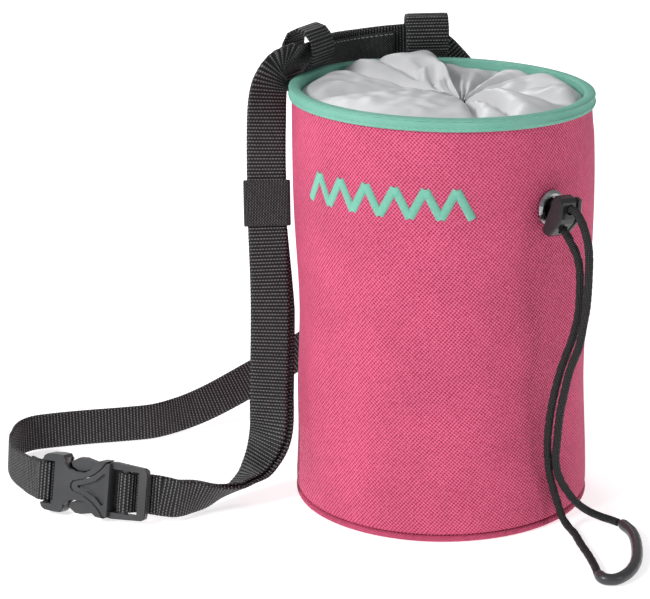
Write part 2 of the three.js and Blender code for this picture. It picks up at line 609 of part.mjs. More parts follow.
// A plate cut to an outline, from one depth to another through the buckle, with bevelled edges
function plate(rows, from, to, bevel = 0) {
  const outline = new wasm.CrossSection([rows.map((row) => [row.u, row.w])], 'NonZero');
  const layer = (inset, low, high) =>
    (inset > 0 ? outline.offset(-inset, 'Miter') : outline).extrude(high - low).translate([0, 0, low]);
  if (bevel === 0) return layer(0, from, to);
  return layer(0, from + bevel, to - bevel).add(layer(bevel / 2, from, to));
}
function windowAt(left, right, high, deep) {
  const tool = new THREE.BoxGeometry(right - left, 2 * high, 2 * deep);
  tool.translate((left + right) / 2, 0, 0);
  return solid(tool);
}
function barAt(middle, high) {
  const round = new THREE.CylinderGeometry(barRadius, barRadius, 2 * high, 12);
  round.translate(middle, 0, 0);
  return solid(round);
}
const placed = (body, frame) => geometryOf(body).applyMatrix4(frame);

const mouth = [
  { u: 5.2, w: 10.3 },
  { u: 3.2, w: 7.7 },
  { u: 0.25, w: 5.2 },
  { u: -3.4, w: 3.3 },
  { u: -6.5, w: 2.4 },
  { u: -8.2, w: 1.9 },
  { u: -9.1, w: 0.8 },
];
const notch = [
  { u: -13, w: 11.1 },
  { u: -11.7, w: 9.3 },
  { u: -11.9, w: 8.2 },
  { u: -10.1, w: 6.2 },
  { u: -7.2, w: 5.5 },
  { u: -3.4, w: 5.6 },
  { u: -1.2, w: 7 },
  { u: 0.4, w: 9.4 },
  { u: 2.2, w: 10.7 },
];
const socketHead = [
  { u: -half, w: 8 },
  { u: -21.4, w: 10 },
  { u: -20, w: 10.9 },
  { u: -16, w: buckleWidth / 2 },
];
const skin = buckleThickness / 2;
const cavity = prongThickness / 2 + seatGap;
const socketOutline = mirrored([...socketHead, ...notch, { u: 5.6, w: 10.9 }, ...mouth]);
const socket = plate(socketOutline, -skin, skin, 0.4)
  .subtract(windowAt(-half - 1, -16.5, slotHalf, skin + 1))
  .subtract(windowAt(-12.2, half, 10.2, cavity))
  .add(barAt(socketBar, slotHalf + 0.8));
add('buckle_socket', placed(socket, buckleFrame), acetal);

const mouthGap = 0.35;
const tongue = mirrored([
  ...mouth.map((row) => ({ u: row.u + mouthGap, w: row.w - 0.3 * mouthGap })).reverse(),
  { u: slotOne - 0.1, w: 10.4 },
]);
const recess = mirrored([
  { u: -6.2, w: 0.3 },
  { u: -2.6, w: 1.4 },
  { u: 1.4, w: 3.2 },
  { u: 4.4, w: 6 },
  { u: 5.4, w: 6.1 },
]);
const rail = mirrored([
  { u: 5.9, w: 10.6 },
  { u: 8, w: 10.9 },
  { u: 20.6, w: 10 },
  { u: 22, w: 9.2 },
  { u: half, w: 7.6 },
]);
const pad = [
  { u: slotOne, w: 6.2 },
  { u: slotOne, w: 9.8 },
  { u: 0, w: 9.8 },
  { u: -4.7, w: 10.8 },
  { u: -7.2, w: 10.7 },
  { u: -10.3, w: 8.7 },
  { u: -9.5, w: 6.9 },
  { u: -7.2, w: 5.9 },
  { u: -3.6, w: 6 },
  { u: -1.7, w: 7.1 },
  { u: 0.5, w: 6.8 },
  { u: 3, w: 6.2 },
];
const shelf = [ // closes the back of the window up to the webbing round the divider
  { u: slotOne - 0.2, w: slotHalf + 0.2 },
  { u: 10.4, w: slotHalf + 0.2 },
];
const grip = prongThickness / 2;
let prongs = plate(tongue, -skin + 0.2, skin - 0.2)
  .subtract(plate(recess, skin - 1.4, skin + 1))
  .add(plate(rail, -frameThickness / 2, frameThickness / 2, 0.4))
  .subtract(windowAt(slotOne, endBar, slotHalf, skin + 1))
  .add(plate(mirrored(shelf), 0.2 - skin, 1.2 - skin))
  .add(barAt(dividerBar, slotHalf + 0.8))
  .add(plate(pad, -grip, grip));
prongs = prongs.add(plate(pad.map((row) => ({ u: row.u, w: -row.w })).reverse(), -grip, grip));
add('buckle_prongs', placed(prongs, buckleFrame), acetal);

// Eyelet: a flange outside, a barrel through the cloth and a washer inside
const eyeletShare = (eyeletHeight - panelThickness) / bagHeight;
const wallAt = Math.hypot(wallPoint(eyeletTurn, eyeletShare, 0).x, wallPoint(eyeletTurn, eyeletShare, 0).y);
const flange = wallAt + 1.5 * seatGap;
const bow = eyeletRadius ** 2 / (2 * rimRadius); // the wall curves away behind a flat washer
const washer = wallAt - wallCloth - seatGap - bow;
const eyeletProfile = [
  [eyeletBore, washer - 1],
  [eyeletRadius - 0.8, washer - 1],
  [eyeletRadius - 0.8, washer],
  [barrelRadius, washer],
  [barrelRadius, flange],
  [eyeletRadius, flange],
  [eyeletRadius, flange + 0.4 * eyeletRim],
  [eyeletRadius - 1.1, flange + eyeletRim],
  [eyeletBore + 1, flange + eyeletRim],
  [eyeletBore, flange + 0.4 * eyeletRim],
];
const eyeletFrame = wallFrame(eyeletTurn);
const onEyelet = (side, up, out) => eyeletFrame.out.clone().multiplyScalar(out)
  .addScaledVector(eyeletFrame.along, side).setZ(eyeletHeight + up);
add('eyelet', ring(24, eyeletProfile.length, (share, j) => {
  const [radius, out] = eyeletProfile[j];
  return onEyelet(radius * Math.cos(2 * Math.PI * share), radius * Math.sin(2 * Math.PI * share), out);
}), nickel);

// Cord lock: a along the plunger, b across the two holes, c outwards
const lockWall = wallFrame(lockTurn);
const c = lockWall.out.clone().multiplyScalar(Math.cos(rad(lockTip))).addScaledVector(UP, -Math.sin(rad(lockTip)));
const b = UP.clone().multiplyScalar(Math.cos(rad(lockTip))).addScaledVector(lockWall.out, Math.sin(rad(lockTip)));
b.applyAxisAngle(c, -rad(lockRoll));
const a = new THREE.Vector3().crossVectors(b, c);
const lockMiddle = lockWall.out.clone().multiplyScalar(rimRadius + lockOff).setZ(lockHeight);
const onLock = (along, across, out) => lockMiddle.clone()
  .addScaledVector(a, along).addScaledVector(b, across).addScaledVector(c, out);

// A block along the plunger: its section by across and out, its ends, and a bevel at both
function block(section, from, to, bevel) {
  const inset = (share, along) => section.map((row) => V(row.across * share, row.out * share +
    (1 - share) * (lockDeep / 2), along));
  return solid(bar([inset(0.88, from), inset(1, from + bevel), inset(1, to - bevel), inset(0.88, to)]));
}
const lockEnd = lockTall / 2;
const lockSection = [
  { across: lockEnd - 0.9, out: 0 },
  { across: lockEnd, out: 1.1 },
  { across: lockEnd, out: 3.6 },
  { across: lockEnd - 1.2, out: 4.7 },
  { across: 0.9, out: lockDeep },
  { across: -0.9, out: lockDeep },
  { across: 1.2 - lockEnd, out: 4.7 },
  { across: -lockEnd, out: 3.6 },
  { across: -lockEnd, out: 1.1 },
  { across: 0.9 - lockEnd, out: 0 },
];
const headSection = [
  { across: lockEnd - 1.6, out: 0.7 },
  { across: lockEnd - 0.8, out: 1.6 },
  { across: lockEnd - 0.8, out: 3.8 },
  { across: 0.9, out: lockDeep - 0.8 },
  { across: -0.9, out: lockDeep - 0.8 },
  { across: 0.8 - lockEnd, out: 3.8 },
  { across: 0.8 - lockEnd, out: 1.6 },
  { across: 1.6 - lockEnd, out: 0.7 },
];
// The two holes run from holeSpacingIn at the inner face to holeSpacing at the ridge
const holeAcross = (out) => (THREE.MathUtils.lerp(holeSpacingIn, holeSpacing, out / lockDeep)) / 2;
function holeTool(side) {
  const tool = new THREE.CylinderGeometry(cordHole / 2, cordHole / 2, 3 * lockDeep, 14);
  tool.rotateZ(-side * Math.atan2(holeSpacing - holeSpacingIn, 2 * lockDeep));
  tool.translate(side * holeAcross(lockDeep / 2), lockDeep / 2, 0);
  return solid(tool);
}
function boxTool(across, out, along) {
  const tool = new THREE.BoxGeometry(across[1] - across[0], out[1] - out[0], along[1] - along[0]);
  tool.translate((across[0] + across[1]) / 2, (out[0] + out[1]) / 2, (along[0] + along[1]) / 2);
  return solid(tool);
}
const lockFrame = new THREE.Matrix4().makeBasis(b, c, a).setPosition(lockMiddle);
const shaftHalf = lockEnd - 1.6;
const shaftFrom = 1.4;
const shaftTo = shaftFrom + plungerThickness;
const slotLeft = -cordHole / 2;
const slotRight = cordHole / 2 + plungerStroke;
const shaftEnd = slotLeft - 0.7; // the bar that holds the cords
const cavityEnd = shaftEnd - plungerStroke - seatGap;
const lockBody = block(lockSection, -lockLeft, lockRight, 0.6)
  .subtract(holeTool(1))
  .subtract(holeTool(-1))
  .subtract(boxTool([-shaftHalf - seatGap, shaftHalf + seatGap], [shaftFrom - seatGap, shaftTo + seatGap],
    [cavityEnd, lockRight + 1]));
add('lock_body', placed(lockBody, lockFrame), acetal);

const headAt = lockRight + plungerNeck;
const slotAcross = holeAcross((shaftFrom + shaftTo) / 2);
const slotSpan = [slotAcross - cordHole / 2 - 0.1, slotAcross + cordHole / 2 + 0.1];
const plunger = boxTool([-shaftHalf, shaftHalf], [shaftFrom, shaftTo], [shaftEnd, headAt + 0.5])
  .subtract(boxTool(slotSpan, [0, lockDeep], [slotLeft, slotRight]))
  .subtract(boxTool([-slotSpan[1], -slotSpan[0]], [0, lockDeep], [slotLeft, slotRight]))
  .add(block(headSection, headAt, headAt + plungerHead, 0.5));
add('lock_plunger', placed(plunger, lockFrame), acetal);

// Cords: both strands run from under the drawn collar through the eyelet and the lock, hang down the
// wall and lie on the floor. The hanging and lying stretches are hand-placed points, set against a
// wall of hangRadius, and they move out with the wall.
const hangRadius = 56;
const hangShift = lockWall.out.clone().multiplyScalar(rimRadius - hangRadius);
const strandSide = (cordDiameter + seatGap) / 2 + 0.05; // each strand off the eyelet's axis
const throughLock = (side) => [
  onEyelet(0, side * strandSide, washer - 3),
  onEyelet(0, side * strandSide, flange + eyeletRim),
  onLock(0, side * holeAcross(-0.4), -0.4),
  onLock(0, side * holeAcross(lockDeep / 2), lockDeep / 2),
  onLock(0, side * holeAcross(lockDeep + 1), lockDeep + 1),
];
const at = (rows) => rows.map(([x, y, z]) => V(x, y, z).add(hangShift));
const leftStrand = [
  ...at([[6.2, 8, 144.2], [10, 0, 142], [22, -22, 136], [29.5, -34.2, 124.6]]),
  ...throughLock(-1),
  ...at([
    [42.7, -56.7, 114.7], [44.6, -57.8, 110.9], [45.8, -57.5, 106], [46.3, -56.4, 99], [46.4, -55, 93],
    [46.2, -54, 87], [44.5, -53.3, 78.1], [42.2, -53.2, 71.2], [40.5, -53.1, 65.9], [38.6, -52.8, 57.7],
    [37.4, -51.9, 50], [36.7, -50.6, 41.7], [36.6, -49.3, 35.3], [37.1, -48.2, 28.5], [38, -47.2, 22.1],
    [39.6, -46, 16], [41.5, -44.9, 9.7], [43.2, -45.8, 4.6], [45.2, -48.4, 2], [46.8, -53, 1.5],
    [48.1, -62.9, 1.5], [49.8, -73.5, 1.5], [50.9, -84, 1.5], [51, -89.4, 1.5],
  ]),
];
const rightStrand = [
  ...at([[11.2, 8.4, 144.6], [15, -1, 143], [24.5, -21, 137.8], [29.8, -32.8, 129.8]]),
  ...throughLock(1),
  ...at([
    [46.6, -57.6, 121.6], [47.8, -58.9, 117.7], [48.6, -59.7, 113.8], [48.9, -60.2, 109.3],
    [48.9, -60, 103.7], [48.9, -59, 97.7], [48.6, -58.1, 90.6], [47.9, -57.4, 85.2], [46.6, -56.2, 76],
    [43.5, -55.6, 66.5], [41.9, -54.7, 58.2], [40.7, -53.6, 50.5], [40.1, -52.2, 42.9],
    [40, -51, 37.9], [39.7, -50.2, 32.8], [39.8, -49.2, 28.6], [40.8, -48, 23.6], [42.6, -46.6, 19],
    [44.5, -45.4, 15.6], [46.6, -43.9, 12.1], [49.7, -41.8, 8.1], [53.8, -40.2, 4.6], [58.3, -40.1, 2.4],
    [61.9, -41.7, 1.7], [64.3, -44, 1.6],
  ]),
];
const tubeRoute = at([
  [65.5, -46.2, 2.1], [68.1, -54.6, 2.1], [67.9, -68, 2.1], [65.3, -81.8, 2.1], [61, -90.6, 2.1],
  [56.2, -94.9, 2.1], [52.6, -94.2, 2.1], [51.1, -90.6, 2.1],
]);

function cord(route, radius, steps, sides) {
  const curve = new THREE.CatmullRomCurve3(route, false, 'centripetal');
  const frames = curve.computeFrenetFrames(steps, false);
  const sections = [];
  for (let i = 0; i <= steps; i += 1) {
    const middle = curve.getPointAt(i / steps);
    sections.push([...Array(sides).keys()].map((k) => {
      const angle = (2 * Math.PI * k) / sides;
      return middle.clone().addScaledVector(frames.normals[i], radius * Math.cos(angle))
        .addScaledVector(frames.binormals[i], radius * Math.sin(angle));
    }));
  }
  return bar(sections);
}
add('cord_left', cord(leftStrand, cordDiameter / 2, 72, 6), cordNylon);
add('cord_right', cord(rightStrand, cordDiameter / 2, 76, 6), cordNylon);
add('pull_tube', cord(tubeRoute, tubeDiameter / 2, 18, 8), shrinkTube);

const group = bag;
export default group;
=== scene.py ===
"""Climbing chalk bag with its waist belt buckled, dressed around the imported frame, in metres."""
import math

import bpy
from mathutils import Matrix, Vector, noise


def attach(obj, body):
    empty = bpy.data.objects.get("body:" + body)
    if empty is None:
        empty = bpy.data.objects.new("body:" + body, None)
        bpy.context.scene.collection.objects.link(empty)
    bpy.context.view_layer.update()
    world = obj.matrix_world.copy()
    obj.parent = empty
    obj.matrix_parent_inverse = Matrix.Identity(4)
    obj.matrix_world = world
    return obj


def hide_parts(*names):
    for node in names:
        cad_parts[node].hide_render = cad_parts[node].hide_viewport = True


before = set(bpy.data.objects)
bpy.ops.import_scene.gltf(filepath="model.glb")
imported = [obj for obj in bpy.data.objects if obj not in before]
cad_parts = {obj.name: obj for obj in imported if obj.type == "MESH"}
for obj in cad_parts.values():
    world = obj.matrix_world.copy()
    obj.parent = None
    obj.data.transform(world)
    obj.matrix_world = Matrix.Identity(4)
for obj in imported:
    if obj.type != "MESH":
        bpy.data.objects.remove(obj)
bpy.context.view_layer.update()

# The camera stands in front of the bag and a little above it, as in the photograph: a long lens,
# turned a touch about its own axis.
camera_rise = math.radians(17.59)
camera_away = 0.82
camera_roll = math.radians(-0.8)
camera_aim = Vector((-0.04456, 0.0, 0.07705))
ahead = Vector((0, math.cos(camera_rise), -math.sin(camera_rise)))
camera_data = bpy.data.cameras.new("camera")
camera_data.sensor_width = 36.0
camera_data.lens = 2133.2 / 650 * 36.0
camera_data.clip_start = 0.05
camera_data.clip_end = 20.0
camera = bpy.data.objects.new("camera", camera_data)
bpy.context.collection.objects.link(camera)
camera.location = camera_aim - ahead * camera_away
level_right = Vector((1, 0, 0))
level_up = level_right.cross(ahead)
camera_right = level_right * math.cos(camera_roll) + level_up * math.sin(camera_roll)
camera_up = level_up * math.cos(camera_roll) - level_right * math.sin(camera_roll)
camera.rotation_euler = Matrix((camera_right, camera_up, -ahead)).transposed().to_euler()
bpy.context.scene.camera = camera


# Draw cords: two strands of 3 mm braided nylon. Both come from under the drawn collar, pass the
# eyelet and the lock, hang down the wall and run out over the floor into the pull tube.
mm = 0.001
strand_width = 3.0 * mm
tube_width = 4.2 * mm
rim_radius = 56.0 * mm
eyelet_turn = math.radians(-49.7)
eyelet_height = 124.2 * mm
eyelet_washer = 53.0 * mm
eyelet_face = 57.9 * mm
lock_turn = math.radians(-51.8)
lock_tip = math.radians(18)
lock_roll = math.radians(8)
lock_out = 61.8 * mm
lock_height = 123.8 * mm
lock_deep = 6.8 * mm
hole_spacing = (5.1 * mm, 8.7 * mm)
strand_side = 1.7 * mm


def around(turn):
    return Vector((math.cos(turn), math.sin(turn), 0))


def on_eyelet(up, out):
    spot = around(eyelet_turn) * out
    spot.z = eyelet_height + up
    return spot


up_axis = Vector((0, 0, 1))
lock_c = around(lock_turn) * math.cos(lock_tip) - up_axis * math.sin(lock_tip)
lock_b = up_axis * math.cos(lock_tip) + around(lock_turn) * math.sin(lock_tip)
lock_b.rotate(Matrix.Rotation(-lock_roll, 3, lock_c))
lock_a = lock_b.cross(lock_c)
lock_middle = around(lock_turn) * lock_out + up_axis * lock_height


def on_lock(along, across, out):
    return lock_middle + lock_a * along + lock_b * across + lock_c * out


def hole_across(out):
    share = out / lock_deep
    return (hole_spacing[0] * (1 - share) + hole_spacing[1] * share) / 2


def through_lock(side):
    return [
        on_eyelet(side * strand_side, eyelet_washer - 3 * mm),
        on_eyelet(side * strand_side, eyelet_face),
        on_lock(0, side * hole_across(-0.4 * mm), -0.4 * mm),
        on_lock(0, side * hole_across(lock_deep / 2), lock_deep / 2),
        on_lock(0, side * hole_across(lock_deep + 1 * mm), lock_deep + 1 * mm),
    ]


def spots(rows):
    return [Vector(row) * mm for row in rows]


def curve_point(a, b, c, d, share):
    """A centripetal Catmull-Rom point between b and c."""
    middle = math.sqrt((c - b).length) or 1.0
    first = math.sqrt((b - a).length) or middle
    last = math.sqrt((d - c).length) or middle
    start = (b - a) / first - (c - a) / (first + middle) + (c - b) / middle
    end = (c - b) / middle - (d - b) / (middle + last) + (d - c) / last
    start *= middle
    end *= middle
    s2 = share * share
    s3 = s2 * share
    ends = b * (2 * s3 - 3 * s2 + 1) + c * (3 * s2 - 2 * s3)
    return ends + start * (s3 - 2 * s2 + share) + end * (s3 - s2)


def smooth_route(route, step):
    """The route's points joined by a smooth curve, at an even spacing near step."""
    padded = [route[0] * 2 - route[1], *route, route[-1] * 2 - route[-2]]
    fine = []
    for i in range(1, len(padded) - 2):
        for k in range(12):
            fine.append(curve_point(*padded[i - 1 : i + 3], k / 12))
    fine.append(route[-1].copy())
    lengths = [0.0]
    for a, b in zip(fine, fine[1:]):
        lengths.append(lengths[-1] + (b - a).length)
    count = max(2, round(lengths[-1] / step))
    even = []
    j = 0
    for i in range(count + 1):
        want = lengths[-1] * i / count
        while j < len(fine) - 2 and lengths[j + 1] < want:
            j += 1
        span = max(lengths[j + 1] - lengths[j], 1e-9)
        even.append(fine[j].lerp(fine[j + 1], min(1, (want - lengths[j]) / span)))
    return even, lengths[-1]


def carried_frames(route):
    """A direction, a normal and a binormal at each point, without twist."""
    frames = []
    normal = None
    for i, spot in enumerate(route):
        run = (route[min(i + 1, len(route) - 1)] - route[max(i - 1, 0)]).normalized()
        if normal is None:
            normal = run.orthogonal().normalized()
        normal = (normal - run * normal.dot(run)).normalized()
        frames.append((spot, run, normal, run.cross(normal)))
    return frames


def mesh_piece(name, points, faces, corner_uvs=None, smooth=True):
    mesh = bpy.data.meshes.new(name)
    mesh.from_pydata([tuple(p) for p in points], [], faces)
    if corner_uvs is not None:
        layer = mesh.uv_layers.new(name="cut")
        layer.data.foreach_set("uv", [x for pair in corner_uvs for x in pair])
    mesh.polygons.foreach_set("use_smooth", [smooth] * len(mesh.polygons))
    mesh.update()
    piece = bpy.data.objects.new(name, mesh)
    bpy.context.collection.objects.link(piece)
    return piece


def swept(name, sections, uv_of, closed_section=True, caps=True):
    """Sections of equal length joined in a row. uv_of(i, j) is the cut's place of a section's point."""
    across = len(sections[0])
    points = [p for section in sections for p in section]
    faces = []
    uvs = []
    for i in range(len(sections) - 1):
        for j in range(across if closed_section else across - 1):
            k = (j + 1) % across
            faces.append((i * across + j, i * across + k, (i + 1) * across + k, (i + 1) * across + j))
            uvs += [uv_of(i, j), uv_of(i, j + 1), uv_of(i + 1, j + 1), uv_of(i + 1, j)]
    if caps:
        last = (len(sections) - 1) * across
        faces.append(tuple(range(across - 1, -1, -1)))
        uvs += [uv_of(0, j) for j in range(across - 1, -1, -1)]
        faces.append(tuple(range(last, last + across)))
        uvs += [uv_of(len(sections) - 1, j) for j in range(across)]
    return mesh_piece(name, points, faces, uvs)


def braided_tube(name, route, width, sides, depth, carriers, pitch):
    """A round cord whose braid stands in low relief: two sets of strands that cross over it."""
    sections = []
    lengths = [0.0]
    for a, b in zip(route, route[1:]):
        lengths.append(lengths[-1] + (b - a).length)
    for (spot, _, normal, side), far in zip(carried_frames(route), lengths):
        ring = []
        for k in range(sides):
            angle = 2 * math.pi * k / sides
            turns = 2 * math.pi * far / pitch
            left = math.sin(carriers * angle + turns)
            right = math.sin(carriers * angle - turns)
            radius = width / 2 - depth * (0.5 - 0.5 * max(left, right))
            ring.append(spot + normal * (radius * math.cos(angle)) + side * (radius * math.sin(angle)))
        sections.append(ring)
    return swept(name, sections, lambda i, j: (lengths[i] / mm, j / sides * math.pi * width / mm))


left_strand = [
    *spots([(6.2, 8, 144.2), (10, 0, 142), (22, -22, 136), (29.5, -34.2, 124.6)]),
    *through_lock(-1),
    *spots([
        (42.7, -56.7, 114.7), (44.6, -57.8, 110.9), (45.8, -57.5, 106), (46.3, -56.4, 99), (46.4, -55, 93),
        (46.2, -54, 87), (44.5, -53.3, 78.1), (42.2, -53.2, 71.2), (40.5, -53.1, 65.9), (38.6, -52.8, 57.7),
        (37.4, -51.9, 50), (36.7, -50.6, 41.7), (36.6, -49.3, 35.3), (37.1, -48.2, 28.5), (38, -47.2, 22.1),
        (39.6, -46, 16), (41.5, -44.9, 9.7), (43.2, -45.8, 4.6), (45.2, -48.4, 2), (46.8, -53, 1.5),
        (48.1, -62.9, 1.5), (49.8, -73.5, 1.5), (50.9, -84, 1.5), (51, -89.4, 1.5),
    ]),
]
right_strand = [
    *spots([(11.2, 8.4, 144.6), (15, -1, 143), (24.5, -21, 137.8), (29.8, -32.8, 129.8)]),
    *through_lock(1),
    *spots([
        (46.6, -57.6, 121.6), (47.8, -58.9, 117.7), (48.6, -59.7, 113.8), (48.9, -60.2, 109.3),
        (48.9, -60, 103.7), (48.9, -59, 97.7), (48.6, -58.1, 90.6), (47.9, -57.4, 85.2), (46.6, -56.2, 76),
        (43.5, -55.6, 66.5), (41.9, -54.7, 58.2), (40.7, -53.6, 50.5), (40.1, -52.2, 42.9),
        (40, -51, 37.9), (39.7, -50.2, 32.8), (39.8, -49.2, 28.6), (40.8, -48, 23.6), (42.6, -46.6, 19),
        (44.5, -45.4, 15.6), (46.6, -43.9, 12.1), (49.7, -41.8, 8.1), (53.8, -40.2, 4.6), (58.3, -40.1, 2.4),
        (61.9, -41.7, 1.7), (64.3, -44, 1.6),
    ]),
]
tube_route = spots([
    (65.5, -46.2, 2.1), (68.1, -54.6, 2.1), (67.9, -68, 2.1), (65.3, -81.8, 2.1), (61, -90.6, 2.1),
    (56.2, -94.9, 2.1), (52.6, -94.2, 2.1), (51.1, -90.6, 2.1),
])


class Finish:
    """A material's nodes, made from its own base values."""

    def __init__(self, name, colour, roughness, **sockets):
        self.material = bpy.data.materials.new(name)
        self.material.use_nodes = True
        self.tree = self.material.node_tree
        self.shader = self.tree.nodes["Principled BSDF"]
        self.shader.inputs["Base Color"].default_value = (*colour, 1)
        self.shader.inputs["Roughness"].default_value = roughness
        for socket, value in sockets.items():
            self.shader.inputs[socket.replace("_", " ")].default_value = value

    def node(self, kind, values=None, **settings):
        made = self.tree.nodes.new(kind)
        for key, value in settings.items():
            setattr(made, key, value)
        for key, value in (values or {}).items():
            self.feed(made.inputs[key], value)
        return made

    def feed(self, socket, value):
        if isinstance(value, bpy.types.NodeSocket):
            self.tree.links.new(value, socket)
        else:
            socket.default_value = value

    def sum(self, operation, a, b=0.0, c=0.0):
        made = self.node("ShaderNodeMath", {0: a, 1: b, 2: c}, operation=operation)
        return made.outputs[0]

    def wave(self, value, period):
        return self.sum("SINE", self.sum("MULTIPLY", value, math.tau / period))

    def ramp(self, factor, stops):
        made = self.node("ShaderNodeValToRGB", {"Fac": factor})
        for _ in range(len(stops) - 2):
            made.color_ramp.elements.new(0.5)
        for element, (place, colour) in zip(made.color_ramp.elements, stops):
            element.position = place
            element.color = (*colour, 1)
        return made.outputs["Color"]

    def noise(self, scale, detail=2.0, vector=None):
        values = {"Scale": scale, "Detail": detail}
        if vector is not None:
            values["Vector"] = vector
        return self.node("ShaderNodeTexNoise", values).outputs["Fac"]

    def cut(self):
        """The piece's own cloth coordinates, in millimetres: along it and across it."""
        made = self.node("ShaderNodeUVMap", uv_map="cut")
        split = self.node("ShaderNodeSeparateXYZ", {0: made.outputs["UV"]})
        return split.outputs["X"], split.outputs["Y"]

    def place(self):
        return self.node("ShaderNodeTexCoord").outputs["Object"]

    def mix(self, factor, a, b, blend="MIX"):
        made = self.node("ShaderNodeMix", data_type="RGBA", blend_type=blend)
        self.feed(made.inputs[0], factor)
        self.feed(made.inputs[6], a)
        self.feed(made.inputs[7], b)
        return made.outputs[2]

    def colour(self, value):
        self.feed(self.shader.inputs["Base Color"], value)

    def roughness(self, value):
        self.feed(self.shader.inputs["Roughness"], value)

    def bump(self, height, strength, distance):
        made = self.node("ShaderNodeBump", {"Height": height, "Strength": strength, "Distance": distance})
        self.feed(self.shader.inputs["Normal"], made.outputs["Normal"])
        return made


def braid_finish():
    finish = Finish("cord_braid", (0.01, 0.01, 0.011), 0.6, Specular_IOR_Level=0.25)
    along, across = finish.cut()
    left = finish.sum("SINE", finish.sum("MULTIPLY", finish.sum("ADD", along, across), 5.2))
    right = finish.sum("SINE", finish.sum("MULTIPLY", finish.sum("SUBTRACT", along, across), 5.2))
    weave = finish.sum("MULTIPLY_ADD", finish.sum("MULTIPLY", left, right), 0.5, 0.5)
    # Painted highlight: the crossings of the braid are painted a bright gray on the black cord, where light
    # would catch them.
    shade = finish.ramp(weave, [(0.6, (0.002, 0.002, 0.002)), (1.0, (0.12, 0.12, 0.125))])
    finish.colour(shade)
    finish.bump(weave, 0.8, 0.0003)
    return finish.material


cord_finish = braid_finish()
cord_pieces = []
for name, node, rows in (
    ("draw_cord_left", "cord_left", left_strand),
    ("draw_cord_right", "cord_right", right_strand),
):
    route, length = smooth_route(rows, 0.45 * mm)
    strand = braided_tube(name, route, strand_width, 20, 0.22 * mm, 4, 5.2 * mm)
    strand.data.materials.append(cord_finish)
    cord_pieces.append((strand, node, route, length))


# Pull tube: dark heat-shrink over the joined ends of the cord, bent round as the pull.
def tube_finish():
    finish = Finish("pull_tube_rubber", (0.042, 0.043, 0.046), 0.32)
    cloud = finish.noise(300.0, 3.0, finish.place())
    finish.roughness(finish.sum("MULTIPLY_ADD", cloud, 0.22, 0.24))
    finish.bump(cloud, 0.25, 0.0001)
    return finish.material


tube_line, _ = smooth_route(tube_route, 0.8 * mm)
tube_rings = []
tube_frames = carried_frames(tube_line)
for i, (spot, run, normal, side) in enumerate(tube_frames):
    from_end = min(i, len(tube_frames) - 1 - i)
    lip = (0.86, 0.96, 1.0)[min(from_end, 2)]
    swell = 1 + 0.012 * math.sin(i * 0.9)
    radius = tube_width / 2 * lip * min(1, swell)
    ring_angles = [math.tau * k / 20 for k in range(20)]
    tube_rings.append([
        spot + normal * (radius * math.cos(angle)) + side * (radius * math.sin(angle))
        for angle in ring_angles
    ])
pull_tube = swept("pull_tube_sleeve", tube_rings, lambda i, j: (i * 0.8, j * 0.66))
pull_tube.data.materials.append(tube_finish())
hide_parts("pull_tube")
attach(pull_tube, "bag")
for strand, node, route, length in cord_pieces:
    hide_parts(node)
    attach(strand, "bag")


# Side wall: a tube of coarse laminated canvas, about 2 mm with its foam lining. It is sewn to the
# base below and to the binding above, and stands up by itself with soft swells and hollows.
bag_height = 160 * mm
base_radius = 56.8 * mm
wall_cloth = 2 * mm
panel_thickness = 2.4 * mm
binding_tape = 0.8 * mm
rim_slope = math.tan(math.radians(1.5))
seam_gap = 0.3 * mm
wall_swells = [
    (183, 0.45, 30, 0.2, -0.036),
    (180, 0.12, 30, 0.12, -0.025),
    (-5, 0.3, 30, 0.2, -0.03),
    (-5, 0.62, 30, 0.2, 0.012),
    (-60, 0.16, 22, 0.1, -0.02),
    (-35, 0.1, 14, 0.08, 0.015),
    (2, 0.86, 34, 0.2, 0.03),
    (-130, 0.75, 35, 0.2, 0.008),
    (100, 0.5, 40, 0.2, -0.015),
]
soft_folds = [
    (-150, 0.33, 9, 0.2, 0.006),
    (-133, 0.22, 7, 0.16, -0.006),
    (-100, 0.14, 14, 0.07, -0.006),
    (-84, 0.3, 20, 0.16, 0.004),
    (-44, 0.42, 8, 0.22, -0.005),
    (-28, 0.5, 9, 0.24, 0.006),
    (-118, 0.06, 10, 0.05, 0.006),
    (40, 0.35, 10, 0.25, -0.006),
    (64, 0.3, 11, 0.2, 0.006),
    (128, 0.25, 12, 0.2, -0.006),
]


fold_depth = 3.4


def swell(turn, up, rows):
    """Depth out of the wall. A row's middle is at a turn and a share of the height, then its reach
    round the wall and up it, and its depth as a share of the rim's radius."""
    depth = 0.0
    for middle_turn, middle_up, wide, tall, deep in rows:
        away = (turn - middle_turn + 180) % 360 - 180
        depth += deep * math.exp(-((away / wide) ** 2) - ((up - middle_up) / tall) ** 2)
    return depth


def wall_point(turn, up, inset):
    taper = base_radius + (rim_radius - base_radius) * up
    held = math.sqrt(max(0, math.sin(math.pi * up))) * min(1, max(0, (0.968 - up) / 0.06))
    depth = swell(turn, up, wall_swells) + fold_depth * swell(turn, up, soft_folds)
    radius = taper + rim_radius * depth * held - inset
    across = radius * math.cos(math.radians(turn))
    foot = panel_thickness + seam_gap
    top = bag_height - binding_tape - seam_gap
    height = foot + (top - foot) * up - across * rim_slope * up
    return Vector((across, radius * math.sin(math.radians(turn)), height))


def ringed(name, around, profile, point, uv_of):
    """A closed profile of points carried round the bag."""
    count = len(profile)
    points = [point(360 * i / around, row) for i in range(around) for row in profile]
    faces = []
    uvs = []
    for i in range(around):
        k = (i + 1) % around
        for j in range(count):
            m = (j + 1) % count
            faces.append((i * count + j, k * count + j, k * count + m, i * count + m))
            uvs += [uv_of(i, j), uv_of(i + 1, j), uv_of(i + 1, j + 1), uv_of(i, j + 1)]
    return mesh_piece(name, points, faces, uvs)


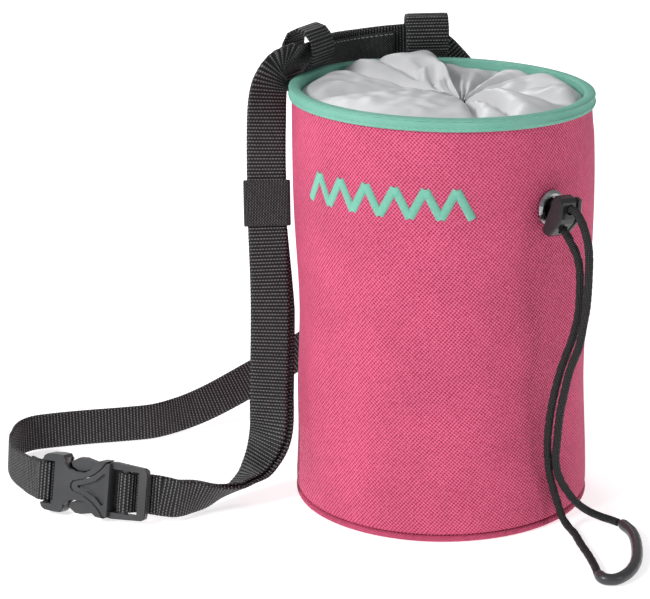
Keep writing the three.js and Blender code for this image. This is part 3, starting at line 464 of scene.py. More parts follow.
def canvas_finish(name, light, dark, pitch):
    """Plain weave of thick melange yarn: each yarn rises and dips under the next, and its crossings carry
    painted highlight and shade.
    """
    finish = Finish(name, light, 0.62, Specular_IOR_Level=0.12)
    along, up = finish.cut()
    drift = finish.noise(38.0, 2.0, finish.place())
    slant = finish.sum("MULTIPLY_ADD", up, 0.16, along)
    warp = finish.wave(slant, 2 * pitch)
    weft = finish.wave(up, 2 * pitch)
    crossing = finish.sum("MULTIPLY_ADD", finish.sum("MULTIPLY", warp, weft), 0.5, 0.5)
    yarn = finish.noise(900.0, 2.0, finish.place())
    mixed = finish.sum("MULTIPLY_ADD", yarn, 0.42, finish.sum("MULTIPLY", crossing, 0.7))
    # Painted highlight and shade: the raised crossings are painted light and the dips dark, mixed with a
    # random melange of yarn tones.
    shade = finish.ramp(mixed, [(0.26, dark), (0.72, light)])
    tone = finish.ramp(drift, [(0.3, (0.86, 0.86, 0.86)), (0.7, (1.0, 1.0, 1.0))])
    finish.colour(finish.mix(1.0, shade, tone, "MULTIPLY"))
    finish.bump(finish.sum("MULTIPLY_ADD", yarn, 0.35, crossing), 1.0, 0.0006)
    return finish.material


shell_finish = canvas_finish("shell_canvas", (0.97, 0.18, 0.33), (0.45, 0.03, 0.1), 0.74)
wall_around = 320
outer_ups = [0, 0.004, 0.008, 0.015, 0.022, 0.03] + [0.03 + 0.97 * k / 96 for k in range(1, 97)]
wall_profile = []
for up in outer_ups:
    tuck = 0.9 * max(0, 1 - up / 0.008) + 0.2 * max(0, 1 - abs(up - 0.008) / 0.02) * (up > 0.004)
    wall_profile.append((up, tuck * mm))
for k in range(24, -1, -1):
    wall_profile.append((k / 24, wall_cloth))


def wall_uv(i, j):
    up, inset = wall_profile[j % len(wall_profile)]
    far = i / wall_around * math.tau * 56.4
    return (far, up * 157 if inset < wall_cloth else 400 + up * 157)


side_wall = ringed(
    "shell_wall", wall_around, wall_profile, lambda turn, row: wall_point(turn, *row), wall_uv
)
punch_radius = 4.5 * mm
punch_sides = 40
punch_points = []
for out in (rim_radius * 0.5, rim_radius * 1.5):
    for k in range(punch_sides):
        angle = math.tau * k / punch_sides
        side_way = Vector((-math.sin(eyelet_turn), math.cos(eyelet_turn), 0))
        spot = around(eyelet_turn) * out + side_way * (punch_radius * math.cos(angle))
        spot.z = eyelet_height + punch_radius * math.sin(angle)
        punch_points.append(spot)
punch_faces = [tuple(range(punch_sides - 1, -1, -1)), tuple(range(punch_sides, 2 * punch_sides))]
for k in range(punch_sides):
    m = (k + 1) % punch_sides
    punch_faces.append((k, m, punch_sides + m, punch_sides + k))
hole_punch = mesh_piece("hole_punch", punch_points, punch_faces, smooth=False)


def cut_with(piece, tool):
    """Takes the tool's shape out of the piece for good, and drops the tool."""
    cutter = piece.modifiers.new("cut", "BOOLEAN")
    cutter.operation = "DIFFERENCE"
    cutter.solver = "EXACT"
    cutter.object = tool
    made = bpy.data.meshes.new_from_object(piece.evaluated_get(bpy.context.evaluated_depsgraph_get()))
    piece.modifiers.clear()
    piece.data = made
    bpy.data.objects.remove(tool)


cut_with(side_wall, hole_punch)
side_wall.data.materials.clear()
side_wall.data.materials.append(shell_finish)
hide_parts("side_wall")
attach(side_wall, "bag")


# Base panel: a disc of the same canvas, its edge turned down and sewn to the wall from outside, so
# a rolled seam runs round the foot of the bag.
panel_rounding = 1.1 * mm
seam_turns = 320


def seam_roll(turn):
    """The seam is drawn in a little at every stitch."""
    return 0.12 * mm * math.cos(math.radians(turn) * 96) + 0.2 * mm * math.sin(math.radians(turn) * 7 + 1.0)


panel_rows = [(0.02, 0.0), (0.35, 0.0), (0.7, 0.0), (0.93, 0.0)]
for k in range(9):
    angle = -math.pi / 2 + math.pi * k / 8
    panel_rows.append((None, angle))
panel_rows += [(0.93, 1.0), (0.7, 1.0), (0.35, 1.0), (0.02, 1.0)]


def panel_point(turn, row):
    share, level = row
    if share is None:
        out = base_radius - panel_rounding + (panel_rounding + seam_roll(turn) * 0.5) * math.cos(level)
        height = panel_thickness / 2 * (1 + math.sin(level))
    else:
        out = base_radius * share
        height = panel_thickness * level
    return Vector((out * math.cos(math.radians(turn)), out * math.sin(math.radians(turn)), height))


base_panel = ringed(
    "base_disc", seam_turns, panel_rows, panel_point,
    lambda i, j: (i / seam_turns * 356, (j % len(panel_rows)) * 0.9),
)
base_panel.data.materials.append(shell_finish)
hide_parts("base_panel")
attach(base_panel, "bag")


# Rim binding: mint grosgrain tape folded over the raw edges of wall and collar and sewn through
# both legs with one row of stitches.
binding_height = 4.6 * mm
binding_out = rim_radius + seam_gap
binding_in = rim_radius - wall_cloth - seam_gap
rim_turns = 360
tape_outline = []


def tape_row(radius, height):
    tape_outline.append((radius, height))


for k in range(9):
    drop = binding_height * (1 - k / 8 * 0.8)
    tape_row(binding_out + binding_tape * (0.62 + 0.38 * math.sin(math.pi * min(1, (k + 0.6) / 5))), -drop)
for k in range(9):
    angle = math.pi * k / 8
    middle = (binding_out + binding_in) / 2
    half_fold = (binding_out - binding_in) / 2 + binding_tape
    tape_row(middle + half_fold * math.cos(angle), -0.9 * mm + 0.9 * mm * math.sin(angle) ** 0.7)
for k in range(9):
    tape_row(binding_in - binding_tape, -binding_height * (0.2 + 0.8 * k / 8))
for radius, drop in ((binding_in, 1.0), (binding_in, 0.3), (binding_out, 0.3), (binding_out, 1.0)):
    tape_row(radius, -binding_height * drop if drop == 1.0 else -binding_tape)


def tape_point(turn, row):
    radius, height = row
    pull = 0.07 * mm * math.sin(math.radians(turn) * 120) if height < -2.4 * mm else 0
    across = (radius + pull) * math.cos(math.radians(turn))
    level = bag_height + height - across * rim_slope + pull
    return Vector((across, (radius + pull) * math.sin(math.radians(turn)), level))


def tape_finish():
    """Fine ribs across the tape, slightly slanted by the fold, over a finer twill."""
    finish = Finish("mint_tape", (0.17, 0.53, 0.4), 0.7, Specular_IOR_Level=0.25)
    along, across = finish.cut()
    slant = finish.sum("MULTIPLY_ADD", across, 0.9, along)
    rib = finish.wave(slant, 0.8)
    twill = finish.wave(finish.sum("SUBTRACT", along, across), 0.7)
    weave = finish.sum("MULTIPLY_ADD", finish.sum("MULTIPLY", rib, twill), 0.38, 0.5)
    cloud = finish.noise(60.0, 2.0, finish.place())
    clouded = finish.sum("MULTIPLY_ADD", cloud, 0.3, weave)
    finish.colour(finish.ramp(clouded, [(0.4, (0.09, 0.38, 0.27)), (0.9, (0.34, 0.66, 0.55))]))
    finish.bump(weave, 0.7, 0.0003)
    return finish.material


tape_shade = tape_finish()
rim_binding = ringed(
    "rim_tape", rim_turns, tape_outline, tape_point,
    lambda i, j: (i / rim_turns * 356, (j % len(tape_outline)) * 0.58),
)
rim_binding.data.materials.append(tape_shade)
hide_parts("rim_binding")
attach(rim_binding, "bag")


def thread_run(name, stitches, width, height, colour):
    """Stitches as low rounded strokes: each from one point to the next, lying on a face."""
    points = []
    faces = []
    for start, end, face in stitches:
        run = (end - start).normalized()
        side = face.cross(run).normalized()
        base = len(points)
        for share, size in ((0, 0.3), (0.12, 0.85), (0.5, 1.0), (0.88, 0.85), (1, 0.3)):
            spot = start.lerp(end, share)
            for angle in (0, 36, 72, 108, 144, 180):
                turn = math.radians(angle)
                rise = face * (height * size * math.sin(turn) - height * (1 - size) * 0.6)
                points.append(spot + side * (width / 2 * size * math.cos(turn)) + rise)
        for i in range(4):
            for j in range(5):
                a = base + i * 6 + j
                faces.append((a, a + 1, a + 7, a + 6))
        faces.append(tuple([base + 6 * i for i in range(5)] + [base + 29 - 6 * i for i in range(5)]))
        faces.append(tuple(base + j for j in range(5, -1, -1)))
        faces.append(tuple(base + 24 + j for j in range(6)))
    piece = mesh_piece(name, points, faces)
    finish = Finish(name + "_thread", colour, 0.55, Sheen_Weight=0.3)
    wave = {"Scale": 900.0, "Distortion": 2.0, "Vector": finish.place()}
    twist = finish.node("ShaderNodeTexWave", wave)
    finish.bump(twist.outputs["Fac"], 0.3, 0.0001)
    finish.roughness(finish.sum("MULTIPLY_ADD", twist.outputs["Fac"], 0.15, 0.5))
    piece.data.materials.append(finish.material)
    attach(piece, "bag")
    return piece


rim_stitches = []
stitch_count = 132
for k in range(stitch_count):
    ends = []
    for share in (0.1, 0.78):
        turn = 360 * (k + share) / stitch_count
        spot = tape_point(turn, (binding_out + binding_tape + 0.02 * mm, -3.5 * mm))
        ends.append(spot)
    rim_stitches.append((ends[0], ends[1], around(math.radians(360 * (k + 0.5) / stitch_count))))
rim_thread = thread_run("rim_stitching", rim_stitches, 0.42 * mm, 0.2 * mm, (0.16, 0.5, 0.38))


# Embroidery: a plain zigzag of mint satin stitches across the upper front, where the cloth is sewn
# through before the tube is closed.
motif_turns = (-150.0, -82.0)
motif_height = 129 * mm
motif_swing = 5.2 * mm
motif_peaks = 6
stroke_width = 3.4 * mm
thread_pitch = 0.34 * mm


def on_wall(far, height):
    """A point just off the cloth: far along the wall from the motif's left end, and high."""
    turn = motif_turns[0] + math.degrees(far / rim_radius)
    foot = panel_thickness + seam_gap
    up = (height - foot) / (bag_height - binding_tape - seam_gap - foot)
    return wall_point(turn, up, -0.05 * mm), turn


motif_far = math.radians(motif_turns[1] - motif_turns[0]) * rim_radius
corners = []
for k in range(2 * motif_peaks + 1):
    corners.append((motif_far * k / (2 * motif_peaks), motif_height + motif_swing * (-1) ** (k + 1)))
satin_stitches = []
for (x0, z0), (x1, z1) in zip(corners, corners[1:]):
    leg = math.hypot(x1 - x0, z1 - z0)
    across_x, across_z = stroke_width / 2 * (z0 - z1) / leg, stroke_width / 2 * (x1 - x0) / leg
    for k in range(round(leg / thread_pitch)):
        share = (k + 0.5) * thread_pitch / leg
        x, z = x0 + (x1 - x0) * share, z0 + (z1 - z0) * share
        low, _ = on_wall(x - across_x, z - across_z)
        high, turn = on_wall(x + across_x, z + across_z)
        satin_stitches.append((low, high, around(math.radians(turn))))
satin = thread_run("satin_zigzag", satin_stitches, 0.42 * mm, 0.45 * mm, (0.2, 0.56, 0.43))


# Collar: a sleeve of thin gray nylon sewn inside the rim. Its cord is drawn, so the cloth closes over
# the mouth in petals, with creases that run to the gathered hem beside the axis.
collar_cloth = 0.5 * mm
collar_dip = 8.6 * mm
collar_fold = 4.2 * mm
crease_depth = 4.0 * mm
wrinkle_height = 0.75 * mm
curl_middle = Vector((-1.5, 24.5, 0)) * mm
curl_radius = 4.4 * mm
curl_rise = 2.6 * mm
pleat_height = 0.8 * mm
neck_radius = 2.6 * mm
neck_aside = 14 * mm
neck_turn = math.radians(53)
collar_edge = binding_in - binding_tape - seam_gap
fold_ways = (0, 0.15, 0.35, 0.55, 0.75, 0.92, 1)
folds = [
    (-135, "crest", (-0.07, 0.19, 0.14, -0.36, -1.31)),
    (-112, "crest", (-0.07, 0.19, 0.14, -0.48, -1.43)),
    (-95, "crest", (-0.19, -0.07, -0.36, -0.95, -1.67)),
    (-88, "valley", (-0.36, -0.6, -0.95, -1.5, -1.9)),
    (-81, "crest", (-0.24, -0.24, -0.52, -1.1, -1.67)),
    (-74, "valley", (-0.36, -0.67, -1.07, -1.55, -1.95)),
    (-63, "crest", (0, 0.43, 0.43, -0.36, -1.43)),
    (-38, "valley", (-0.24, -0.76, -1, -1.31, -1.79)),
    (-27, "crest", (0.43, 0.05, -0.71, -1.19, -1.79)),
    (-10, "crest", (0, -0.36, -0.76, -1.19, -1.76)),
    (20, "crest", (0.07, -0.12, -0.48, -1, -1.67)),
    (35, "valley", (-0.36, -0.71, -1, -1.38, -1.86)),
    (50, "crest", (-0.24, -0.36, -0.52, -1, -1.67)),
    (66, "valley", (-0.71, -1.07, -1.19, -1.43, -1.9)),
    (78, "crest", (-0.6, -0.6, -0.71, -1.07, -1.67)),
    (100, "valley", (0.36, 0.24, -0.48, -1.19, -1.9)),
    (112, "crest", (0.95, 1, 0.48, -0.48, -1.43)),
    (128, "crest", (0.83, 0.71, 0, -0.95, -1.67)),
    (138, "valley", (0.36, 0.12, -0.6, -1.38, -1.9)),
    (147, "crest", (0.71, 0.48, -0.36, -1.14, -1.67)),
    (158, "valley", (-0.24, -0.36, -1.07, -1.62, -1.95)),
    (172, "crest", (0.19, 0.05, -0.62, -1.19, -1.67)),
    (188, "crest", (0, 0, -0.48, -1.07, -1.67)),
    (202, "valley", (-0.12, -0.29, -0.67, -1.19, -1.79)),
]
neck = Vector((neck_aside * math.cos(neck_turn), neck_aside * math.sin(neck_turn), 0))


def crest_height(rise, way):
    """The height over the rim on one fold, part of the way from the rim to the hem."""
    heights = [1 * mm - binding_height, *(share * collar_fold for share in rise), -collar_dip]
    following = next(k for k in range(1, len(fold_ways)) if fold_ways[k] >= way)

    def slope(k):
        before, after = max(k - 1, 0), min(k + 1, len(fold_ways) - 1)
        return (heights[after] - heights[before]) / (fold_ways[after] - fold_ways[before])

    span = fold_ways[following] - fold_ways[following - 1]
    t = (way - fold_ways[following - 1]) / span
    level = heights[following - 1] + (heights[following] - heights[following - 1]) * t * t * (3 - 2 * t)
    return level + span * t * (1 - t) * ((1 - t) * slope(following - 1) - t * slope(following))


def pleats(turn, way):
    """Small gathers that fan out from the drawn hem and fade towards the rim."""
    near = max(0, (way - 0.3) / 0.7) ** 1.3
    fan = math.sin(math.radians(turn) * 17 + 0.7) + 0.6 * math.sin(math.radians(turn) * 29 + 2.1)
    return pleat_height * near * fan


def collar_point(index, share, way, under):
    first, second = folds[index], folds[(index + 1) % len(folds)]
    turn = first[0] + (second[0] - first[0]) % 360 * share
    if first[1] == second[1]:
        across = share * share * (3 - 2 * share)
    elif second[1] == "crest":
        across = math.sin(math.pi / 2 * share)
    else:
        across = 1 - math.cos(math.pi / 2 * share)
    run = around(math.radians(turn))
    aside = neck.dot(run)
    to_rim = math.sqrt(aside**2 + collar_edge**2 - neck.length_squared) - aside
    spot = neck + run * (to_rim + (neck_radius - to_rim) * way)
    height = crest_height(first[2], way) * (1 - across) + crest_height(second[2], way) * across
    sharp = (first[1] == "valley") * (1 - share) ** 3 + (second[1] == "valley") * share**3
    height -= crease_depth * sharp * math.sin(math.pi * min(1, way * 1.25)) ** 0.7
    height += wrinkle_height * noise.noise(spot / (6 * mm)) * min(1, way * 5)
    away = (spot - curl_middle).length
    height += curl_rise * math.exp(-(((away - curl_radius) / (1.5 * mm)) ** 2))
    height -= curl_rise * math.exp(-((away / (2.6 * mm)) ** 2))
    spot.z = bag_height + height + pleats(turn, way) - spot.x * rim_slope - under * collar_cloth
    return spot


def nylon_finish():
    """Smooth coated nylon with a very fine weave, cool gray, that shines a little along its folds."""
    finish = Finish("gray_nylon", (0.6, 0.6, 0.61), 0.45, Specular_IOR_Level=0.5)
    along, across = finish.cut()
    warp = finish.wave(along, 0.55)
    weft = finish.wave(across, 0.55)
    weave = finish.sum("MULTIPLY_ADD", finish.sum("MULTIPLY", warp, weft), 0.5, 0.5)
    cloud = finish.noise(45.0, 3.0, finish.place())
    finish.colour(finish.ramp(cloud, [(0.3, (0.56, 0.56, 0.57)), (0.7, (0.66, 0.66, 0.67))]))
    finish.roughness(finish.sum("MULTIPLY_ADD", cloud, 0.2, 0.4))
    finish.bump(weave, 0.12, 0.0001)
    return finish.material


collar_steps = 72
collar_stations = []
for index, fold in enumerate(folds):
    parts = max(6, round((folds[(index + 1) % len(folds)][0] - fold[0]) % 360 / 0.9))
    collar_stations += [(index, k / parts) for k in range(parts)]
collar_turns = len(collar_stations)
collar_profile = [(k / collar_steps, 0) for k in range(collar_steps + 1)]
collar_profile += [(way, 1) for way, _ in reversed(collar_profile)]
collar = ringed(
    "gathered_collar", collar_turns, collar_profile,
    lambda turn, row: collar_point(*collar_stations[round(turn * collar_turns / 360)], *row),
    lambda i, j: (i / collar_turns * 330, collar_profile[j % len(collar_profile)][0] * 50),
)
collar.data.materials.append(nylon_finish())
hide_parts("collar")
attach(collar, "bag")


# Belt loops: two bands of 18 mm ribbed webbing, sewn under the binding at the back and to the outside
# of the wall, that stand in a bow over the rim and hold the belt.
webbing_width = 16 * mm
webbing_thickness = 1.3 * mm
loop_webbing = 18 * mm
loop_height = 17 * mm
loop_depth = 14 * mm
rib_pitch = 1.32 * mm
loop_outline = [
    {"out": -0.09, "up": 0.075},
    {"out": -0.286, "up": 0.235},
    {"out": -0.386, "up": 0.482},
    {"out": -0.336, "up": 0.735},
    {"out": -0.13, "up": 0.93},
    {"out": 0.13, "up": 0.985},
    {"out": 0.386, "up": 0.88},
    {"out": 0.543, "up": 0.635},
    {"out": 0.586, "up": 0.294},
    {"out": 0.57, "down": 0.1},
    {"out": 0.54, "down": 0.5},
    {"out": 0.38, "down": 0.78},
    {"out": 0.22, "down": 1},
    {"out": 0.17, "down": 1.25},
]


def between(points, i, share):
    """The smooth curve's point between points i and i + 1, as the solids have it."""
    before = points[i - 1] if i > 0 else points[0] * 2 - points[1]
    after = points[i + 2] if i + 2 < len(points) else points[-1] * 2 - points[-2]
    return curve_point(before, points[i], points[i + 1], after, share)


def smooth_rows(rows, step):
    """Middles and edge directions of a strap, joined by smooth curves."""
    middles = [row[0] for row in rows]
    edges = [row[1] for row in rows]
    fine = []
    for i in range(len(rows) - 1):
        parts = max(1, round((middles[i] - middles[i + 1]).length / step))
        for k in range(parts):
            fine.append((between(middles, i, k / parts), between(edges, i, k / parts).normalized()))
    fine.append((middles[-1].copy(), edges[-1].normalized()))
    return fine


def even_rows(rows, step):
    """The same strap with rows at one even spacing."""
    lengths = [0.0]
    for a, b in zip(rows, rows[1:]):
        lengths.append(lengths[-1] + (b[0] - a[0]).length)
    count = max(2, round(lengths[-1] / step))
    even = []
    j = 0
    for i in range(count + 1):
        want = lengths[-1] * i / count
        while j < len(rows) - 2 and lengths[j + 1] < want:
            j += 1
        share = min(1, (want - lengths[j]) / max(lengths[j + 1] - lengths[j], 1e-9))
        edge = rows[j][1].lerp(rows[j + 1][1], share).normalized()
        even.append((rows[j][0].lerp(rows[j + 1][0], share), edge))
    return even


def framed(rows):
    """Middle, run, edge and face of each row of a strap."""
    frames = []
    for i, (spot, edge) in enumerate(rows):
        run = (rows[min(i + 1, len(rows) - 1)][0] - rows[max(i - 1, 0)][0]).normalized()
        face = run.cross(edge).normalized()
        frames.append((spot, run, face.cross(run).normalized(), face))
    return frames


def ribbed_band(name, rows, width, thickness, pitch, depth, columns=14, per_rib=4):
    """Woven webbing: ribs of weft that stand across it, and edges where the weft turns back."""
    frames = framed(even_rows(rows, pitch / per_rib))
    sections = []
    for i, (spot, _, edge, face) in enumerate(frames):
        phase = math.tau * i / per_rib
        rib = 0.5 + 0.5 * math.cos(phase)
        ring = []
        for side in (1, -1):
            for k in range(columns):
                share = side * (1 - 2 * (k + 0.5) / columns)
                edge_drop = 0.42 * abs(share) ** 10
                yarn = 0.12 * math.cos(math.pi * k)
                rise = thickness / 2 * (1 - edge_drop) - depth * (1 - rib * (1 - yarn))
                out = share * (width / 2)
                if abs(share) > 0.9:
                    out += math.copysign(0.05 * mm, share) * math.cos(phase + 1.5)
                ring.append(spot + edge * out + face * (side * rise))
        sections.append(ring)

    def band_uv(i, j):
        column = j if j < columns else columns - j % columns
        return (i * pitch / per_rib / mm, column * width / columns / mm)

    return swept(name, sections, band_uv)


def webbing_finish(name, rib, roughness):
    """Black polyester: ribs across the run, each broken into short floats whose crests carry a painted
    highlight.
    """
    finish = Finish(name, (0.012, 0.012, 0.013), roughness, Specular_IOR_Level=0.35)
    along, across = finish.cut()
    ribs = finish.sum("COSINE", finish.sum("MULTIPLY", along, math.tau / (rib / mm)))
    float_width = 1.15
    floats = finish.wave(across, float_width)
    offset = finish.sum("SINE", finish.sum("MULTIPLY_ADD", across, math.tau / float_width, math.pi))
    turn = finish.sum("COSINE", finish.sum("MULTIPLY", along, math.pi / (rib / mm)))
    swap = finish.sum("MULTIPLY", turn, finish.sum("MULTIPLY", finish.sum("SUBTRACT", floats, offset), 0.5))
    weave = finish.sum("MULTIPLY_ADD", finish.sum("MULTIPLY_ADD", swap, 0.4, ribs), 0.35, 0.5)
    fuzz = finish.noise(700.0, 2.0, finish.place())
    # Painted highlight: the highest crests of the floats are painted a bright gray on the black yarn, where
    # light would catch them.
    stops = [(0.45, (0.002, 0.002, 0.002)), (0.8, (0.01, 0.01, 0.011)), (1.0, (0.17, 0.17, 0.175))]
    finish.colour(finish.ramp(finish.sum("MULTIPLY_ADD", fuzz, 0.25, weave), stops))
    finish.bump(finish.sum("MULTIPLY_ADD", fuzz, 0.3, weave), 0.7, 0.0004)
    return finish.material


loop_finish = webbing_finish("loop_webbing", rib_pitch, 0.55)
for name, node, turn, drop in (
    ("belt_loop_right", "loop_right", 93, 24 * mm),
    ("belt_loop_left", "loop_left", 152, 9.5 * mm),
):
    outward = around(math.radians(turn))
    along_rim = Vector((-outward.y, outward.x, 0))
    rows = []
    for row in loop_outline:
        spot = outward * (rim_radius - wall_cloth / 2 + row["out"] * loop_depth)
        rise = row["up"] * loop_height if "up" in row else -row["down"] * drop
        spot.z = bag_height - spot.x * rim_slope + rise
        rows.append((spot, along_rim))
    loop = ribbed_band(
        name, smooth_rows(rows, loop_height / 4), loop_webbing, webbing_thickness, rib_pitch, 0.16 * mm
    )
    loop.data.materials.append(loop_finish)
    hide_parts(node)
    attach(loop, "bag")


# Waist belt: one strip of 16 mm ribbed webbing. Its sewn end goes round the socket's bar, and it
# runs behind the bag, through both loops, down the left side and through the prong half, and doubles
# back up to the keeper.
belt_reach = 118 * mm
buckle_length = 44.5 * mm
buckle_width = 22.4 * mm
buckle_thickness = 7 * mm
bar_radius = 1.5 * mm
buckle_heading = math.radians(-23)
buckle_lean = math.radians(14)
buckle_u = Vector((math.cos(buckle_heading), math.sin(buckle_heading), 0))
buckle_level = Vector((buckle_u.y, -buckle_u.x, 0))
buckle_w = up_axis * math.cos(buckle_lean) - buckle_level * math.sin(buckle_lean)
buckle_n = buckle_u.cross(buckle_w)
buckle_middle = around(math.radians(-168.5)) * (rim_radius + 0.6754 * belt_reach)
buckle_middle.z = buckle_width / 2 * buckle_w.z + buckle_thickness / 2 * buckle_n.z
socket_bar = -buckle_length / 2 + bar_radius
divider_bar = 12.8 * mm
end_bar = 18.7 * mm
frame_end = buckle_length / 2
lap = bar_radius + seam_gap + webbing_thickness / 2
doubled = webbing_thickness + seam_gap
keeper_at = 0.719
keeper_length = 17 * mm
tail_over = 3.5 * mm
tail_shift = 2 * mm


def on_buckle(along, front, up=0):
    return buckle_middle + buckle_u * along + buckle_n * front + buckle_w * up


def belt_row(turn, reach=0, off=0.5, up=0, foot=0.5, edge=(0, 0, 1)):
    """turn round the bag, out by the belt's reach and its width, up by the bag's height and its width."""
    spot = around(math.radians(turn)) * (rim_radius + reach * belt_reach + off * webbing_width)
    spot.z = up * bag_height + foot * webbing_width
    return spot, Vector(edge)


belt_back = [
    belt_row(185.3, reach=0.799, up=0.018, edge=(0.08, 0.18, 0.98)),
    belt_row(183.3, reach=0.824, up=0.013, edge=(0.06, 0.14, 0.99)),
    belt_row(181.3, reach=0.847, up=0.009, edge=(0.04, 0.08, 1)),
    belt_row(178.6, reach=0.881, up=0.004, edge=(0.03, 0.03, 1)),
    belt_row(175.9, reach=0.91, up=0.001, edge=(0.05, 0, 1)),
    belt_row(172.8, reach=0.932, edge=(0.1, 0, 1)),
    belt_row(170.4, reach=0.938, edge=(0.1, 0, 1)),
    belt_row(168, reach=0.932, edge=(0.06, 0, 1)),
    belt_row(166.1, reach=0.905, edge=(0.03, 0, 1)),
    belt_row(164.8, reach=0.86),
    belt_row(162, reach=0.748),
    belt_row(158.4, reach=0.617),
    belt_row(155.4, reach=0.544, edge=(-0.05, 0, 1)),
    belt_row(149.4, reach=0.481, up=0.005, edge=(-0.15, 0, 1)),
    belt_row(144.8, reach=0.427, up=0.024, edge=(-0.3, 0, 1)),
    belt_row(136.5, reach=0.345, up=0.072, edge=(-0.45, 0, 0.9)),
    belt_row(127.7, reach=0.261, up=0.131, edge=(-0.5, 0, 0.87)),
    belt_row(116.3, reach=0.186, up=0.206, edge=(-0.53, 0, 0.85)),
    belt_row(100, reach=0.137, up=0.3, edge=(-0.58, 0, 0.8)),
    belt_row(84.1, reach=0.122, up=0.4, edge=(-0.65, 0.1, 0.74)),
    belt_row(71.6, reach=0.1, up=0.51, edge=(-0.7, 0.45, 0.55)),
    belt_row(64.6, reach=0.07, up=0.62, edge=(-0.4, 0.85, 0.35)),
    belt_row(64, reach=0.035, up=0.72, edge=(0.25, 0.9, 0.35)),
    belt_row(69, off=0.66, up=0.805, edge=(0.7, 0.4, 0.55)),
    belt_row(76.5, off=0.42, up=0.87, edge=(0.8, 0.1, 0.6)),
]
rim_pass = [
    belt_row(83, off=0.3, up=0.925, edge=(0.75, 0.03, 0.65)),
    belt_row(88.5, off=0.25, up=0.962, edge=(0.5, 0, 0.87)),
    belt_row(94.5, off=0.22, up=0.982, edge=(0.18, -0.07, 1)),
    belt_row(106, off=0.23, up=0.984, edge=(0.05, -0.12, 1)),
    belt_row(123, off=0.25, up=0.983, edge=(0.1, -0.2, 0.97)),
    belt_row(138, off=0.17, up=0.99, edge=(0.25, -0.35, 0.9)),
    belt_row(152, off=0.065, up=0.994, edge=(0.25, -0.6, 0.75)),
]
strap_rows = [
    belt_row(164.8, off=0.15, up=0.995, edge=(0.02, -0.8, 0.6)),
    belt_row(168.6, off=0.21, up=0.999, edge=(-0.28, -0.77, 0.5)),
    belt_row(171.1, off=0.33, up=0.992, edge=(-0.52, -0.72, 0.35)),
    belt_row(172.8, off=0.44, up=0.975, edge=(-0.7, -0.6, 0.28)),
    belt_row(173.7, off=0.54, up=0.95, edge=(-0.84, -0.45, 0.23)),
    belt_row(173.9, off=0.6, up=0.913, edge=(-0.92, -0.3, 0.18)),
    belt_row(173.9, off=0.63, up=0.865, edge=(-0.98, -0.12, 0.1)),
    belt_row(174.2, off=0.65, up=0.794, edge=(-1, 0, 0)),
    belt_row(179.1, off=0.63, up=0.63, edge=(-1, 0, 0)),
    belt_row(184.5, off=0.61, up=0.444, edge=(-1, 0, 0)),
    belt_row(187, off=0.7, up=0.212, edge=(-0.99, 0.1, -0.05)),
    belt_row(187.7, off=0.8, reach=-0.005, foot=1.63, edge=(-0.92, 0.32, -0.24)),
    belt_row(188.5, off=0.8, reach=0.024, foot=1.08, edge=(-0.785, 0.55, -0.28)),
    belt_row(189.8, off=0.8, reach=0.057, foot=0.75, edge=(-0.7, 0.635, -0.33)),
    belt_row(191.1, off=0.8, reach=0.088, foot=0.6, edge=(-0.54, 0.75, -0.38)),
    belt_row(192.6, off=0.8, reach=0.123, foot=0.49, edge=(-0.42, 0.79, -0.44)),
    belt_row(194.1, off=0.8, reach=0.16, foot=0.47, edge=(-0.28, 0.78, -0.56)),
    belt_row(195.6, off=0.8, reach=0.215, foot=0.45, edge=(-0.19, 0.585, -0.79)),
    belt_row(196.8, off=0.8, reach=0.273, foot=0.52, edge=(-0.05, 0.3, -0.95)),
    belt_row(197.9, off=0.8, reach=0.332, foot=0.6, edge=(-0.07, 0.04, -0.99)),
]


def round_bar(middle, start, end, edge, steps=5):
    turns = [math.radians(start + (end - start) * i / steps) for i in range(steps + 1)]
    return [(on_buckle(middle + lap * math.cos(t), lap * math.sin(t)), edge) for t in turns]


out_of_socket = (on_buckle(socket_bar - 2 * mm, lap), buckle_w)
sewn_rows = [
    (spot + face * doubled, edge) for spot, _, edge, face in framed([out_of_socket, *belt_back[:3]])[1:3]
]
socket_start = [
    *reversed(sewn_rows),
    (on_buckle(socket_bar - bar_radius, -lap), buckle_w),
    *round_bar(socket_bar, -90, 90, buckle_w),
    out_of_socket,
]
downward = -buckle_w
prong_turn = [
    (on_buckle(frame_end + 4 * mm, -lap - doubled), downward),
    (on_buckle(frame_end - bar_radius, -lap - doubled), downward),
    (on_buckle(divider_bar + 3.2 * mm, -lap - 0.6 * doubled), downward),
    *round_bar(divider_bar, 270, 90, downward),
    (on_buckle(divider_bar + 1.4 * mm, lap - 0.35 * mm), downward),
    (on_buckle(divider_bar + 2.6 * mm, 0.8 * mm), downward),
    (on_buckle(divider_bar + 3.5 * mm, -1.1 * mm), downward),
    (on_buckle(end_bar - 1 * mm, -lap + 0.25 * mm), downward),
    (on_buckle(frame_end - bar_radius, -lap), downward),
    (on_buckle(frame_end + 4 * mm, -lap), downward),
]
strap_line = framed(smooth_rows([*strap_rows, prong_turn[0]], 1.5 * mm))


def at_height(height):
    following = next(i for i, row in enumerate(strap_line) if row[0].z < height)
    above, below = strap_line[following - 1], strap_line[following]
    share = (above[0].z - height) / (above[0].z - below[0].z)
    edge, face = [above[k].lerp(below[k], share).normalized() for k in (2, 3)]
    return following, above[0].lerp(below[0], share), edge, face


